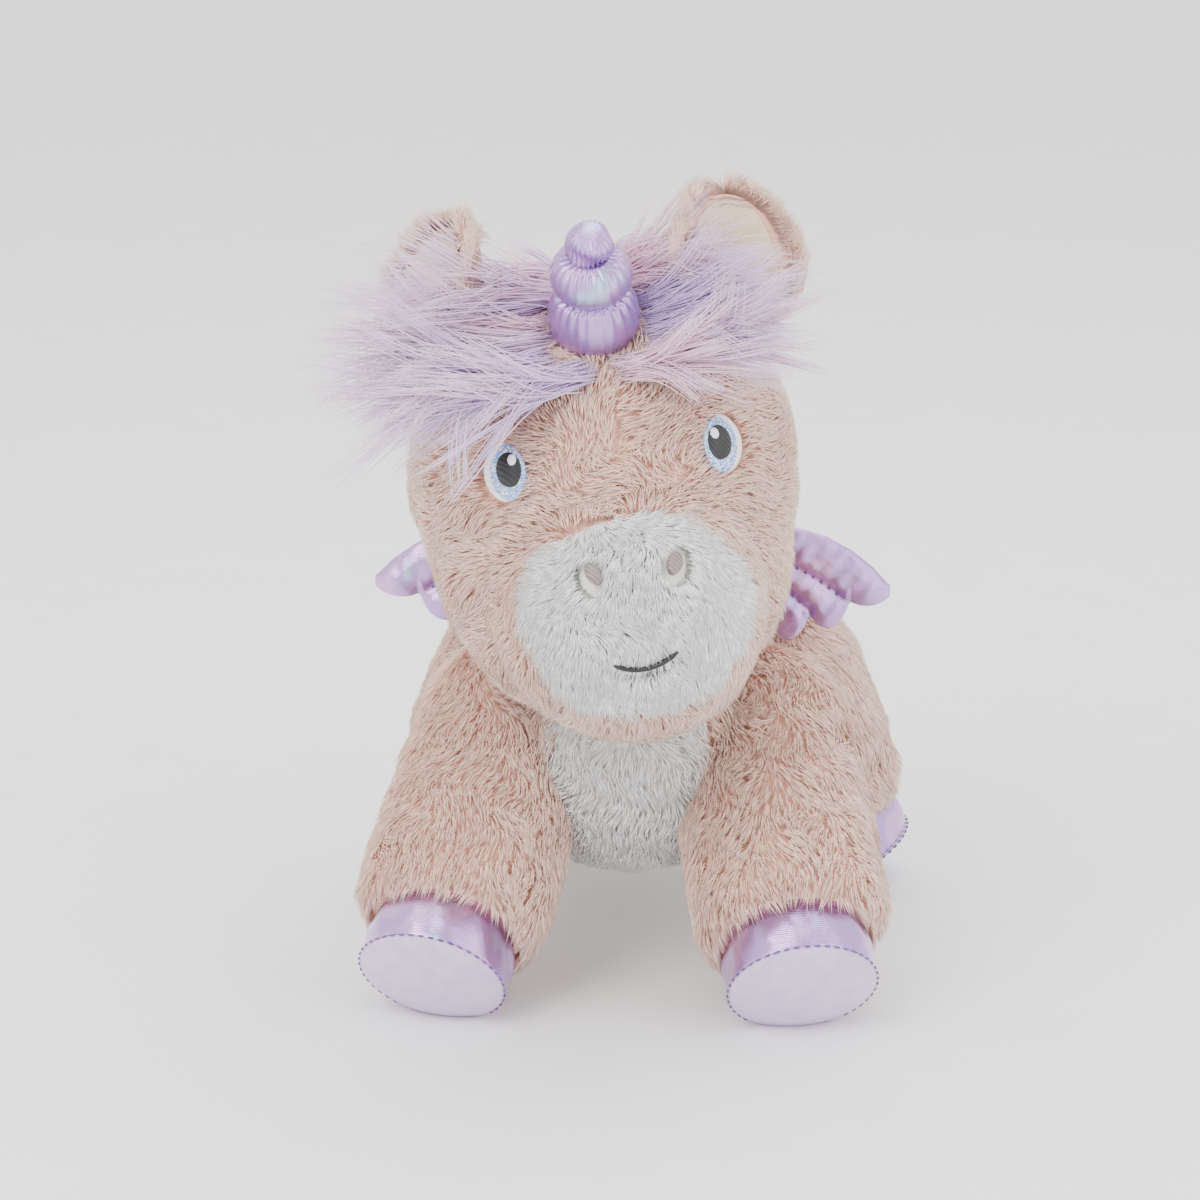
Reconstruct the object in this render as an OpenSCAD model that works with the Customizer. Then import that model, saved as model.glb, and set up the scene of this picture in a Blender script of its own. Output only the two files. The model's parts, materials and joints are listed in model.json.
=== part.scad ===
// Stuffed toy unicorn with wings, standing on four short padded legs.
// +X is to the right of someone who faces the toy, its face looks along -Y, the floor is z = 0.

/* [Torso] */
// Height of the torso's centre line above the floor
torso_z = 110; // [105:1:116]
// Radius of the chest
chest_r = 64; // [60:1:66]
// Radius of the rump
rump_r = 70; // [66:1:74]
// Distance from the chest's centre to the rump's centre
torso_len = 110; // [100:1:124]
// Place of the chest's centre, front to back
chest_y = -27.5; // [-32:0.5:-20]
// Width of the white panel under the belly
belly_w = 60; // [40:1:70]
// Thickness of the pile fabric that the toy is sewn from
fur_t = 3; // [2:0.25:4]

/* [Head] */
// Radius of the skull
skull_r = 86; // [80:1:90]
// Height of the skull's centre over the centre of the cheeks
skull_rise = 39; // [34:1:44]
// Radius of the cheeks, which rest on the chest
cheek_r = 78.5; // [72:0.5:79]
// Radius of the muzzle
muzzle_r = 58; // [54:1:62]
// How far the muzzle's centre is in front of the cheeks' centre
muzzle_reach = 57; // [48:1:66]
// Radius of the white patch on the muzzle
patch_r = 43; // [38:1:48]
// How far the head is turned to the toy's left at rest
head_turn = 10; // [0:1:14]
// How far the head leans over at rest
head_tilt = 6.5; // [0:0.5:8]
// Thickness of the pad in the neck
neck_pad_t = 3; // [2:0.5:4]

/* [Eyes and mouth] */
// Height of the embroidered eye
eye_h = 26; // [20:1:32]
// Angle of each eye from the middle of the face
eye_side = 34; // [28:1:40]
// Angle of each eye above the skull's centre
eye_up = 12; // [6:1:18]
// Thickness of one layer of embroidery
stitch_t = 0.8; // [0.5:0.1:1.2]
// Length of a nostril
nostril_len = 11; // [8:0.5:14]
// Half the width of the mouth
mouth_half = 13; // [10:0.5:18]

/* [Ears] */
// Length of the ear above its root
ear_len = 60; // [54:1:74]
// Radius of the ear's cup
ear_cup_r = 31; // [27:1:35]
// Width of the ear
ear_w = 60; // [50:1:66]
// Radius of the ear's root
ear_root_r = 14; // [12:0.5:15]
// Thickness of the velvet lining
lining_t = 2; // [1.5:0.25:3]

/* [Horn] */
// Radius of the horn's lowest tier
horn_low_r = 20; // [16:0.5:22]
// Radius of the horn's middle tier
horn_mid_r = 17.5; // [14:0.5:20]
// Radius of the horn's top tier
horn_top_r = 11.5; // [9:0.5:13]
// Angle of the horn forward of upright
horn_lean = 32; // [18:1:38]
// Thickness of the foil fabric
foil_t = 1.2; // [0.8:0.1:1.6]

/* [Wings] */
// Length of the wing from its root to the middle of its tip lobe
wing_len = 82; // [70:1:95]
// Thickness of the padded wing
wing_t = 10; // [8:0.5:12]
// Distance of each wing root from the middle of the back
wing_root_x = 28; // [24:1:32]
// Place of the wings behind the chest's centre
wing_back = 58; // [54:1:64]

/* [Legs] */
// Radius of the front leg where it joins the body
front_ball_r = 39.5; // [36:0.5:40]
// Length of the front leg from its joint to the seam of its sole
front_len = 142; // [138:1:146]
// Radius of the front hoof
front_hoof_r = 34; // [31:0.5:36]
// Radius of the rear leg where it joins the body
rear_ball_r = 46; // [42:1:48]
// Length of the rear leg from its joint to the seam of its sole
rear_len = 98.5; // [96:0.5:102]
// Radius of the rear hoof
rear_hoof_r = 32; // [30:0.5:34]
// Length of the foil band round each hoof
band_len = 27; // [20:1:30]
// How far the sole bulges past its seam
sole_dome = 9; // [6:0.5:11]

/* [Tail] */
// Length of the tail
tail_len = 82; // [60:1:95]
// Greatest radius of the tail
tail_r = 13; // [10:0.5:15]

/* [Hidden] */
$fn = 64;
PARTS = ["left", "right"];
LEGS = ["front_left", "front_right", "rear_left", "rear_right"];

gap = 0.4;            // room between pieces that move on each other
fill_gap = 0.3;       // room between a cover and its filling
thread_r = 0.6;       // radius of the sewing thread
far = 400;            // longer than the toy in any direction
pink = "#ead5cb";
white = "#eceee8";
foil = "#bd9bd0";
violet = "#cdb9d9";
fluff = "#f7f6f2";
cream = "#e2d2b4";

// Torso
chest = [0, chest_y, torso_z];
rump = [0, chest_y + torso_len, torso_z];
waist_cut = 2.5;      // how much slimmer the waist is than the chest and the rump
collar_y = chest_y - 9;    // the white panel covers everything in front of this

// Head: the cheeks' centre is the point that the head turns and nods about
neck_base = [0, chest_y - 12, torso_z + 40];
cheek = [0, chest_y - 42, torso_z + 99];
skull = cheek + [0, 5, skull_rise];
muzzle = cheek + [0, -muzzle_reach, -12];
bowl_r = cheek_r + neck_pad_t + 2 * gap;
neck_pad_angle = 15;

// Legs: pivot, angle from upright, direction on the floor, ball, sleeve and hoof radii, length, travel
shoulder = [60, chest_y - 2, torso_z];
hip = [60, chest_y + 108, torso_z - 10];
function is_front(leg) = leg == "front_left" || leg == "front_right";
function is_left(name) = name == "front_left" || name == "rear_left" || name == "left";
function pivot(leg) = is_front(leg) ? shoulder : hip;
function lean(leg) = is_front(leg) ? 52.6 : 27.1;
function heading(leg) = is_front(leg) ? 12.6 : 109.2;
function ball_r(leg) = is_front(leg) ? front_ball_r : rear_ball_r;
function hoof_r(leg) = is_front(leg) ? front_hoof_r : rear_hoof_r;
function leg_len(leg) = is_front(leg) ? front_len : rear_len;
function travel(leg) = is_front(leg) ? 18 : 12;
function cuff_r(leg) = hoof_r(leg) + 8;
hoof_taper = 2;       // the band is this much narrower at the cuff than at the sole
cuff_len = 12;        // length over which the sleeve closes onto the hoof

// Places on the skull
ear_place = [58, -10, 62];
eye_r = eye_h / 2;
horn_base = 10;       // depth of the horn's foot below the skull's surface
horn_step_1 = 21;     // heights of the gathers between the tiers, above the skull
horn_step_2 = 41;
horn_len = 56;
forelock_t = 9;
forelock_r = 44;

// Wing outline, from the root outwards and upwards
wing_root = [wing_root_x, chest_y + wing_back, torso_z + 58];
wing_root_r = 11;
tail_root = [0, rump[1] + rump_r + 5, torso_z + 16];

module mirror_for(side) {
    if (is_left(side)) mirror([1, 0, 0]) children();
    else children();
}

// ---- torso ----

module torso_solid(inset = 0) {
    translate(chest) sphere(r = chest_r - inset);
    translate(rump) sphere(r = rump_r - inset);
    translate(chest) rotate([-90, 0, 0])
        cylinder(h = torso_len, r1 = chest_r - waist_cut - inset, r2 = rump_r - waist_cut - inset);
}

module in_head() {
    translate(neck_base) rotate([0, -head_tilt, 0]) translate(-neck_base)
        translate(cheek) rotate([0, 0, head_turn]) translate(-cheek) children();
}

module in_leg(leg) {
    mirror_for(leg) translate(pivot(leg)) rotate([-lean(leg), 0, heading(leg)]) rotate([180, 0, 0]) children();
}

// Room for a leg over its whole travel: round its ball, and round its sleeve where that swings to each side
module leg_room(leg) {
    down = [sin(lean(leg)) * sin(heading(leg)), -sin(lean(leg)) * cos(heading(leg)), -cos(lean(leg))];
    mirror_for(leg) {
        translate(pivot(leg)) sphere(r = ball_r(leg) + gap);
        for (s = [25, 50, 75]) translate(pivot(leg) + s * down)
            sphere(r = ball_r(leg) / cos(travel(leg)) + s * tan(travel(leg)) + gap);
    }
}

module wing_seat(side) {
    mirror_for(side) translate(wing_root) rotate([90, 0, 0])
        cylinder(h = wing_t + 2 * gap, r = wing_root_r + gap, center = true);
}

// The hollow that the head rests in, with its axis through the chest's centre
module head_bowl() {
    up = cheek - neck_base;
    centre = neck_base + [-up[2] * sin(head_tilt), up[1], up[2] * cos(head_tilt)];
    aim = chest - centre;
    translate(centre) rotate([0, acos(aim[2] / norm(aim)), atan2(aim[1], aim[0])]) sphere(r = bowl_r);
}

module torso_rooms() {
    head_bowl();
    for (leg = LEGS) leg_room(leg);
    for (side = PARTS) wing_seat(side);
    label_shape();
}

module torso_cover() {
    difference() {
        torso_solid();
        torso_solid(fur_t);
        torso_rooms();
    }
}

module belly_region() {
    translate([-belly_w / 2, -far / 2, 0]) cube([belly_w, far / 2 + rump[1], torso_z - 10]);
    translate([-far / 2, -far / 2, 0]) cube([far, far / 2 + collar_y, far]);
}

// sign is -1 for the left side and 1 for the right side
module torso_side(sign) {
    color(pink) difference() {
        torso_cover();
        belly_region();
        translate([sign > 0 ? -far : 0, -far / 2, 0]) cube([far, far, far]);
    }
}
module belly_panel() {
    color(white) intersection() {
        torso_cover();
        belly_region();
    }
}
// The stuffing is pushed in as a left and a right half
module torso_filling(sign) {
    color(fluff) difference() {
        torso_solid(fur_t + fill_gap);
        torso_rooms();
        translate([sign > 0 ? -far : 0, -far / 2, 0]) cube([far, far, far]);
    }
}
// Hand stitches that close the filling hole along the middle of the back
module closing_stitches() {
    count = 12;
    pitch = 4;
    color(pink) for (i = [0 : count - 1]) translate(rump) rotate([8 - i * pitch, 0, 0])
        translate([0, 0, rump_r + thread_r + 0.1]) rotate([0, 90, 0]) cylinder(h = 5, r = thread_r, center = true);
}
// Blank fabric label sewn into the seam behind the left hip
module label_shape() {
    translate([-34, rump[1] + 42, torso_z - 46]) rotate([0, 0, 20]) cube([24, 1, 24]);
}
module care_label() {
    color("white") label_shape();
}

// ---- neck and head ----

// A cap of wadding between the chest and the head, round the point that the head turns about
module neck_pad() {
    aim = atan2(cheek[1] - chest[1], cheek[2] - chest[2]);
    color(fluff) in_head() translate(cheek) rotate([180 - aim, 0, 0]) intersection() {
        difference() {
            sphere(r = bowl_r - gap);
            sphere(r = cheek_r + gap);
        }
        cylinder(h = bowl_r, r1 = 0, r2 = bowl_r * tan(neck_pad_angle));
    }
}

module head_solid(inset = 0) {
    translate(skull) sphere(r = skull_r - inset);
    translate(cheek) sphere(r = cheek_r - inset);
    translate(muzzle) sphere(r = muzzle_r - inset);
}
module ear_seats() {
    for (side = PARTS) mirror_for(side) translate(skull + ear_place) sphere(r = ear_root_r + gap);
}
module head_cover() {
    difference() {
        head_solid();
        head_solid(fur_t);
        ear_seats();
    }
}
module patch_region() {
    translate(muzzle + [0, 0, 8]) rotate([90, 0, 0]) cylinder(h = far, r = patch_r);
}
module head_side(sign) {
    color(pink) in_head() difference() {
        head_cover();
        translate([sign > 0 ? -far : 0, -far, 0]) cube([far, 2 * far, 2 * far]);
        patch_region();
    }
}
module muzzle_panel() {
    color(white) in_head() intersection() {
        head_cover();
        patch_region();
    }
}
module head_filling() {
    color(fluff) in_head() difference() {
        head_solid(fur_t + fill_gap);
        ear_seats();
    }
}

// One layer of embroidery on the skull: a round of radius r, moved by dx and dz, lying over the layers below it
module eye_layer(side, layer, r, dx = 0, dz = 0) {
    in_head() mirror_for(side) translate(skull) intersection() {
        difference() {
            sphere(r = skull_r + (layer + 1) * stitch_t);
            sphere(r = skull_r + layer * stitch_t);
        }
        rotate([0, 0, eye_side]) rotate([-eye_up, 0, 0]) translate([dx, 0, dz])
            rotate([90, 0, 0]) cylinder(h = far, r = r);
    }
}
module eye_white(side) { color("#f4f2fa") eye_layer(side, 0, eye_r); }
module eye_iris(side) { color("#a9c4e6") eye_layer(side, 1, eye_r - 2, -1); }
module eye_pupil(side) { color("#151518") eye_layer(side, 2, eye_r * 0.5, -3, 1); }
module eye_highlight(side) { color("white") eye_layer(side, 3, eye_r * 0.18, -5, 5); }

// Embroidered dashes on the muzzle: short bars with round ends, lying on the pile
module nostrils() {
    color("#a08f8e") in_head() for (side = PARTS) mirror_for(side) translate(muzzle) intersection() {
        difference() {
            sphere(r = muzzle_r + stitch_t);
            sphere(r = muzzle_r);
        }
        translate([17, 0, 27]) rotate([90, 20, 0]) {
            cylinder(h = far, r = nostril_len / 4);
            translate([0, nostril_len / 4, 0]) cylinder(h = far, r = nostril_len / 4);
            translate([0, -nostril_len / 4, 0]) cylinder(h = far, r = nostril_len / 4);
        }
    }
}
module mouth_stitch() {
    mouth_r = 30;
    color("#25243a") in_head() translate(muzzle) intersection() {
        difference() {
            sphere(r = muzzle_r + stitch_t);
            sphere(r = muzzle_r);
        }
        translate([0, 0, mouth_r - 12]) rotate([90, 0, 0]) difference() {
            cylinder(h = far, r = mouth_r);
            translate([0, 0, -1]) cylinder(h = far + 2, r = mouth_r - 2);
            translate([-far / 2, -mouth_r * 0.9 + 2, -1]) cube([far, far, far + 2]);
            for (sign = [-1, 1]) translate([sign > 0 ? mouth_half : -mouth_half - far, -far / 2, -1])
                cube([far, far, far + 2]);
        }
    }
}

// ---- horn ----

module in_horn() {
    in_head() translate(skull) rotate([horn_lean, 0, 0]) translate([0, 0, skull_r]) children();
}
module horn_solid(inset = 0) {
    rotate_extrude() polygon([
        [0, -horn_base + inset], [horn_low_r - 4 - inset, -horn_base + inset], [horn_low_r - inset, 5],
        [horn_low_r - inset, 12], [horn_low_r - 6 - inset, horn_step_1],
        [horn_mid_r - inset, horn_step_1 + 6], [horn_mid_r - inset, horn_step_1 + 13],
        [horn_mid_r - 9 - inset, horn_step_2],
        [horn_top_r - inset, horn_step_2 + 4], [horn_top_r - 1 - inset, horn_step_2 + 10],
        [2.5, horn_len - inset], [0, horn_len - inset]]);
}
module horn_cover() {
    color(foil) in_horn() difference() {
        horn_solid();
        horn_solid(foil_t);
        translate([0, 0, -skull_r]) sphere(r = skull_r);
    }
}
module horn_filling() {
    color(fluff) in_horn() difference() {
        horn_solid(foil_t + fill_gap);
        translate([0, 0, -skull_r]) sphere(r = skull_r);
    }
}
// Threads drawn tight round the gathers
module horn_ties() {
    color(violet) in_horn() {
        translate([0, 0, horn_step_1]) rotate_extrude()
            translate([horn_low_r - 6 + thread_r + 0.3, 0]) circle(r = thread_r);
        translate([0, 0, horn_step_2]) rotate_extrude()
            translate([horn_mid_r - 9 + thread_r + 0.6, 0]) circle(r = thread_r);
    }
}

// ---- long pile: forelock, mane and tail ----

module forelock() {
    color("#ead3e4") in_head() translate(skull) difference() {
        intersection() {
            sphere(r = skull_r + forelock_t);
            rotate([horn_lean, 0, 0]) cylinder(h = far, r = forelock_r);
        }
        sphere(r = skull_r + 0.1);
        rotate([horn_lean, 0, 0]) cylinder(h = far, r = horn_low_r + 1);
        for (side = PARTS) mirror_for(side) translate(ear_place) sphere(r = ear_root_r + 26);
    }
}
module neck_mane() {
    color("#ead3e4") in_head() translate(skull) difference() {
        intersection() {
            sphere(r = skull_r + forelock_t);
            rotate([-52, 0, 0]) cylinder(h = far, r = 24);
        }
        sphere(r = skull_r + 0.1);
    }
}
module tail_tuft() {
    color("#ead3e4") translate(tail_root) rotate([15, 0, 0]) rotate_extrude() polygon([
        [0, 5], [3.5, 3.5], [5, 0], [5, -8], [9, -22], [tail_r, -38], [tail_r, -52],
        [7, -tail_len + 10], [0, -tail_len]]);
}

// ---- ears ----

ear_cup_y = 4 - ear_cup_r;    // place of the cup's axis behind the ear's root
ear_lift = 9;                 // the cup stands this far off the skull, so that the ear can flop
function ear_turn(side) = is_left(side) ? 62 : 22;
function ear_out(side) = is_left(side) ? 2 : 12;

module in_ear(side) {
    in_head() mirror_for(side) translate(skull + ear_place)
        rotate([0, ear_out(side), 0]) rotate([0, 0, ear_turn(side)]) children();
}
// Leaf outline of the ear: two arcs that meet at the tip and at the root
module ear_leaf(inset = 0) {
    half = ear_len / 2 + 4;
    bulge = ear_w / 2;
    r = (half * half + bulge * bulge) / (2 * bulge);
    translate([0, far / 2, ear_len / 2 - 4]) rotate([90, 0, 0]) intersection() {
        translate([r - bulge, 0, 0]) cylinder(h = far, r = r - inset);
        translate([bulge - r, 0, 0]) cylinder(h = far, r = r - inset);
    }
}
module ear_cup(side, outer, inner, inset) {
    difference() {
        in_ear(side) intersection() {
            translate([0, ear_cup_y, 0]) difference() {
                cylinder(h = far, r = outer);
                translate([0, 0, -1]) cylinder(h = far + 2, r = inner);
            }
            ear_leaf(inset);
            translate([-far / 2, ear_cup_y, 0]) cube([far, far, ear_len]);
        }
        in_head() translate(skull) sphere(r = skull_r + ear_lift);
    }
}
module ear_root(side) {
    in_ear(side) {
        sphere(r = ear_root_r);
        translate([0, 5.5, 0]) cylinder(h = 24, r = 3);
    }
}
module ear_cover(side) {
    color(pink) {
        ear_cup(side, ear_cup_r + fur_t, ear_cup_r, 0);
        ear_root(side);
    }
}
module ear_lining(side) {
    color(cream) difference() {
        ear_cup(side, ear_cup_r, ear_cup_r - lining_t, 2);
        ear_root(side);
    }
}

// ---- wings ----

// Three lobes below a curved leading edge
module wing_outline(inset = 0) {
    circle(r = wing_root_r - inset);
    polygon([
        [0, -6 + inset], [12, -2 + inset], [27, -3 + inset], [wing_len * 0.5, -18 + inset], [wing_len, -6 + inset],
        [wing_len + 8 - inset, 4], [wing_len * 0.75, 24 - inset], [wing_len * 0.4, 29 - inset],
        [8, 20 - inset], [0, 10 - inset]]);
    translate([wing_len, 0]) circle(r = 12 - inset);
    translate([wing_len * 0.78, -10]) circle(r = 12.5 - inset);
    translate([wing_len * 0.56, -16]) circle(r = 12 - inset);
}
module in_wing(side) {
    mirror_for(side) translate(wing_root) rotate([90, 0, 0]) children();
}
module wing_half(side, sign) {
    color(foil) in_wing(side) difference() {
        translate([0, 0, sign > 0 ? 0 : -wing_t / 2]) linear_extrude(wing_t / 2) wing_outline();
        linear_extrude(wing_t - 2 * foil_t, center = true) wing_outline(foil_t);
    }
}
module wing_padding(side) {
    color(fluff) in_wing(side)
        linear_extrude(wing_t - 2 * foil_t - 2 * fill_gap, center = true) wing_outline(foil_t + fill_gap);
}
// Sewn lines that divide the wing into its feathers, on both faces
module wing_quilting(side) {
    color(violet) in_wing(side) for (face = [-1, 1]) for (line = [0, 1])
        translate([12, 4 - 4 * line, face * (wing_t / 2 + thread_r + 0.05)]) rotate([0, 0, -4 - 14 * line])
            rotate([0, 90, 0]) cylinder(h = wing_len * (line == 0 ? 0.78 : 0.55), r = thread_r);
}

// ---- legs ----

module sleeve_solid(leg, inset = 0) {
    b = ball_r(leg);
    cuff_z = leg_len(leg) - band_len;
    sphere(r = b - inset);
    rotate_extrude() polygon([
        [0, 0], [b - 2 - inset, 0], [cuff_r(leg) - 1 - inset, cuff_z - cuff_len - 14], [cuff_r(leg) - inset, cuff_z - cuff_len],
        [hoof_r(leg) - hoof_taper + 1 - inset, cuff_z - inset], [0, cuff_z - inset]]);
}
module hoof_solid(leg, inset = 0) {
    r = hoof_r(leg);
    dome_r = (r * r + sole_dome * sole_dome) / (2 * sole_dome);
    cuff_z = leg_len(leg) - band_len;
    start = cuff_z - (inset > 0 ? fur_t + 6 : 0);
    sweep = asin(r / dome_r);
    steps = 6;
    rotate_extrude() polygon([
        [0, start], [r - hoof_taper - inset, start], [r - hoof_taper - inset, cuff_z],
        for (i = [0 : steps]) let (a = sweep * (1 - i / steps))
            [(dome_r - inset) * sin(a), leg_len(leg) + sole_dome - dome_r + (dome_r - inset) * cos(a)]]);
}
module above(height) {
    difference() {
        children();
        translate([-far, -far, -far]) cube([2 * far, 2 * far, far + height]);
    }
}
module hoof_cover(leg) {
    difference() {
        above(0) in_leg(leg) hoof_solid(leg);
        above(foil_t) in_leg(leg) hoof_solid(leg, foil_t);
    }
}
module leg_sleeve(leg) {
    color(pink) difference() {
        in_leg(leg) sleeve_solid(leg);
        in_leg(leg) sleeve_solid(leg, fur_t);
        in_leg(leg) hoof_solid(leg, foil_t);
    }
}
module leg_band(leg) {
    color(foil) intersection() {
        hoof_cover(leg);
        in_leg(leg) cylinder(h = leg_len(leg), r = far / 4);
    }
}
module leg_sole(leg) {
    color(violet) difference() {
        hoof_cover(leg);
        in_leg(leg) cylinder(h = leg_len(leg), r = far / 4);
    }
}
module leg_stitches(leg) {
    arc = 270;        // the seam is bare where the hoof rests on the floor
    color("#5d3a7c") in_leg(leg) translate([0, 0, leg_len(leg)]) rotate([0, 0, 90 - arc / 2])
        rotate_extrude(angle = arc) translate([hoof_r(leg) + thread_r + 0.1, 0]) circle(r = thread_r);
}
module leg_filling(leg) {
    color(fluff) above(foil_t + fill_gap) in_leg(leg) {
        sleeve_solid(leg, fur_t + fill_gap);
        hoof_solid(leg, foil_t + fill_gap);
    }
}

torso_side(-1);  // torso_side_left
torso_side(1);  // torso_side_right
belly_panel();
torso_filling(-1);  // torso_filling_left
torso_filling(1);  // torso_filling_right
closing_stitches();
care_label();
neck_pad();
head_side(-1);  // head_side_left
head_side(1);  // head_side_right
muzzle_panel();
head_filling();
nostrils();
mouth_stitch();
forelock();
neck_mane();
horn_cover();
horn_filling();
horn_ties();
tail_tuft();
eye_white("left");  // eye_left_white
eye_iris("left");  // eye_left_iris
eye_pupil("left");  // eye_left_pupil
eye_highlight("left");  // eye_left_highlight
eye_white("right");  // eye_right_white
eye_iris("right");  // eye_right_iris
eye_pupil("right");  // eye_right_pupil
eye_highlight("right");  // eye_right_highlight
ear_cover("left");  // ear_left_cover
ear_lining("left");  // ear_left_lining
ear_cover("right");  // ear_right_cover
ear_lining("right");  // ear_right_lining
wing_half("left", 1);  // wing_left_front
wing_half("left", -1);  // wing_left_back
wing_padding("left");  // wing_left_padding
wing_quilting("left");  // wing_left_quilting
wing_half("right", 1);  // wing_right_front
wing_half("right", -1);  // wing_right_back
wing_padding("right");  // wing_right_padding
wing_quilting("right");  // wing_right_quilting
for (leg = LEGS) {
    leg_sleeve(leg);
    leg_band(leg);
    leg_sole(leg);
    leg_stitches(leg);
    leg_filling(leg);
}
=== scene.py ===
"""Looks of a plush unicorn: fur, foil, embroidery and long pile, worked out as surfaces
round the fixed frame.

Lengths inside the shape functions are in millimetres. Every mesh is stored in metres, at the origin.
"""

import json
import math

import bpy
import numpy as np
from bpy.props import FloatProperty, IntProperty, PointerProperty
from bpy.types import Operator, Panel, PropertyGroup
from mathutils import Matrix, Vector


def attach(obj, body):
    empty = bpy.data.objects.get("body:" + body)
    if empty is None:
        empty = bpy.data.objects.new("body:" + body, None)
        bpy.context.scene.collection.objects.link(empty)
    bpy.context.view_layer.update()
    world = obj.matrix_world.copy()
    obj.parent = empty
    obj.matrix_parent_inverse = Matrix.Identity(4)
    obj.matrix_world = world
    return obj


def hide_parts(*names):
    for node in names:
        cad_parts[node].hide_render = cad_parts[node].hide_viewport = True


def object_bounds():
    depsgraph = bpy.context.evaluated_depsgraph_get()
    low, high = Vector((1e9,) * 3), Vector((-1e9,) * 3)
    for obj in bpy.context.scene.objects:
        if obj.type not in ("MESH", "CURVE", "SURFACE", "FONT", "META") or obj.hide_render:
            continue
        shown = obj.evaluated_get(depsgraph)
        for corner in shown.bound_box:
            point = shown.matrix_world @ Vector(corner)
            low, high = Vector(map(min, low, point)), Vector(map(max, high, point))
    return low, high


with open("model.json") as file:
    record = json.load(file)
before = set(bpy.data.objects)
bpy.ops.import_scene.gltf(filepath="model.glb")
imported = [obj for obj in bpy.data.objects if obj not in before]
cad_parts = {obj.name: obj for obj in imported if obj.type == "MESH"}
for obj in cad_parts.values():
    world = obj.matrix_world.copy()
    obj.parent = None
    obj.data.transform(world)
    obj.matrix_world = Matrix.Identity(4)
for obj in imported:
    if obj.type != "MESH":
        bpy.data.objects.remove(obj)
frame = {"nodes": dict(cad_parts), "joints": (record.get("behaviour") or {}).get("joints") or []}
cad_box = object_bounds()

bl_info = {
    "name": "Plush unicorn",
    "version": (1, 0, 0),
    "blender": (4, 5, 0),
    "location": "View3D > Sidebar > Plush unicorn",
    "description": "Builds the soft covers, trims and hair of a plush unicorn round its frame",
    "category": "Object",
}

MM = 0.001
SIDES = {"left": -1.0, "right": 1.0}
LEGS = ("front_left", "front_right", "rear_left", "rear_right")

# ---- sizes shared with the frame, in mm ----

PIVOT = {j["name"]: np.array(j["pos_m"]) / MM for j in frame["joints"]}
CHEEK = PIVOT["head_turn"]
CHEST = np.array([0.0, -27.5, 110.0])
HEAD_TURN, HEAD_TILT = math.radians(10), math.radians(6.5)
SKULL = np.array([0.0, 5.0, 39.0])          # from the cheeks' centre, before the head is turned
MUZZLE = np.array([0.0, -57.0, -12.0])
SKULL_R, CHEEK_R, MUZZLE_R = 86.0, 78.5, 58.0
INSET = 2.4                                 # the cloth under the pile lies this far inside the frame
HEAD_BALLS = [(SKULL, SKULL_R - INSET), (np.zeros(3), CHEEK_R - INSET), (MUZZLE, MUZZLE_R - INSET)]
HEAD_CENTRE = np.array([0.0, -14.0, 14.0])
CHEST_R, RUMP_R, TORSO_LEN, WAIST_CUT = 64.0, 70.0, 110.0, 2.5
TORSO_BALLS = [
    (
        np.array([0.0, TORSO_LEN * t, 0.0]),
        CHEST_R + (RUMP_R - CHEST_R) * t - INSET - WAIST_CUT * (0 < t < 1),
    )
    for t in (0, 0.25, 0.5, 0.75, 1)
]
TORSO_CENTRE = np.array([0.0, TORSO_LEN / 2, 0.0])
HEAD_POWER, TORSO_POWER = 24, 60            # the lower, the softer the creases between the balls
LEG = {
    "front": dict(lean=52.6, heading=12.6, ball=39.5, length=142.0, hoof=34.0),
    "rear": dict(lean=27.1, heading=109.2, ball=46.0, length=98.5, hoof=32.0),
}
BAND_LEN, SOLE_DOME = 27.0, 9.0
EYE_SIDE, EYE_UP = math.radians(34), math.radians(12)
HORN_LEAN = math.radians(32)
EAR_LEN, EAR_R, EAR_W = 60.0, 31.0, 70.0
EAR_TURN = {"left": 62.0, "right": 22.0}
EAR_OUT = {"left": 2.0, "right": 12.0}
EAR_PLACE = (58.0, -10.0, 62.0)             # ear root from the skull's centre, on the right
PATCH_FRONT = -60.0                         # the muzzle's white patch lies in front of this
WING_T = 10.0
BURIED = 9.0                                # pile this deep under another stuffed part is left out

LOW, HIGH = (np.array(corner) / MM for corner in cad_box)
SPARE = (HIGH - LOW) * 0.03 + 9.0           # the pile may stand this far out of the frame's box

# ---- vectors ----


def in_room(points):
    """True for strands, given as rows of points, that stay wholly inside the box and its spare room."""
    return ((points > LOW - SPARE) & (points < HIGH + SPARE)).all(axis=(1, 2))


def unit(v):
    """Vectors divided by their lengths."""
    return v / np.maximum(np.linalg.norm(v, axis=-1, keepdims=True), 1e-9)


def spin(axis, angle):
    """Matrix that turns column vectors about x, y or z by an angle in radians."""
    c, s = math.cos(angle), math.sin(angle)
    return {
        "x": np.array([[1, 0, 0], [0, c, -s], [0, s, c]]),
        "y": np.array([[c, 0, s], [0, 1, 0], [-s, 0, c]]),
        "z": np.array([[c, -s, 0], [s, c, 0], [0, 0, 1]]),
    }[axis]


HEAD_SPIN = spin("y", -HEAD_TILT) @ spin("z", HEAD_TURN)


def from_head(points):
    """Points given from the cheeks' centre in the unturned head, placed in the frame."""
    return points @ HEAD_SPIN.T + CHEEK


def to_head(points):
    """The way back from the frame to the unturned head."""
    return (points - CHEEK) @ HEAD_SPIN


def waves(points, length, seed, terms=5):
    """Smooth noise from -1 to 1: the mean of sine waves in random directions, about one length long."""
    rng = np.random.default_rng(seed)
    directions = unit(rng.normal(size=(terms, 3)))
    directions = directions * rng.uniform(0.7, 1.5, (terms, 1)) * 2 * math.pi / length
    return np.sin(points @ directions.T + rng.uniform(0, 6.28, terms)).mean(axis=-1) * 1.6


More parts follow.
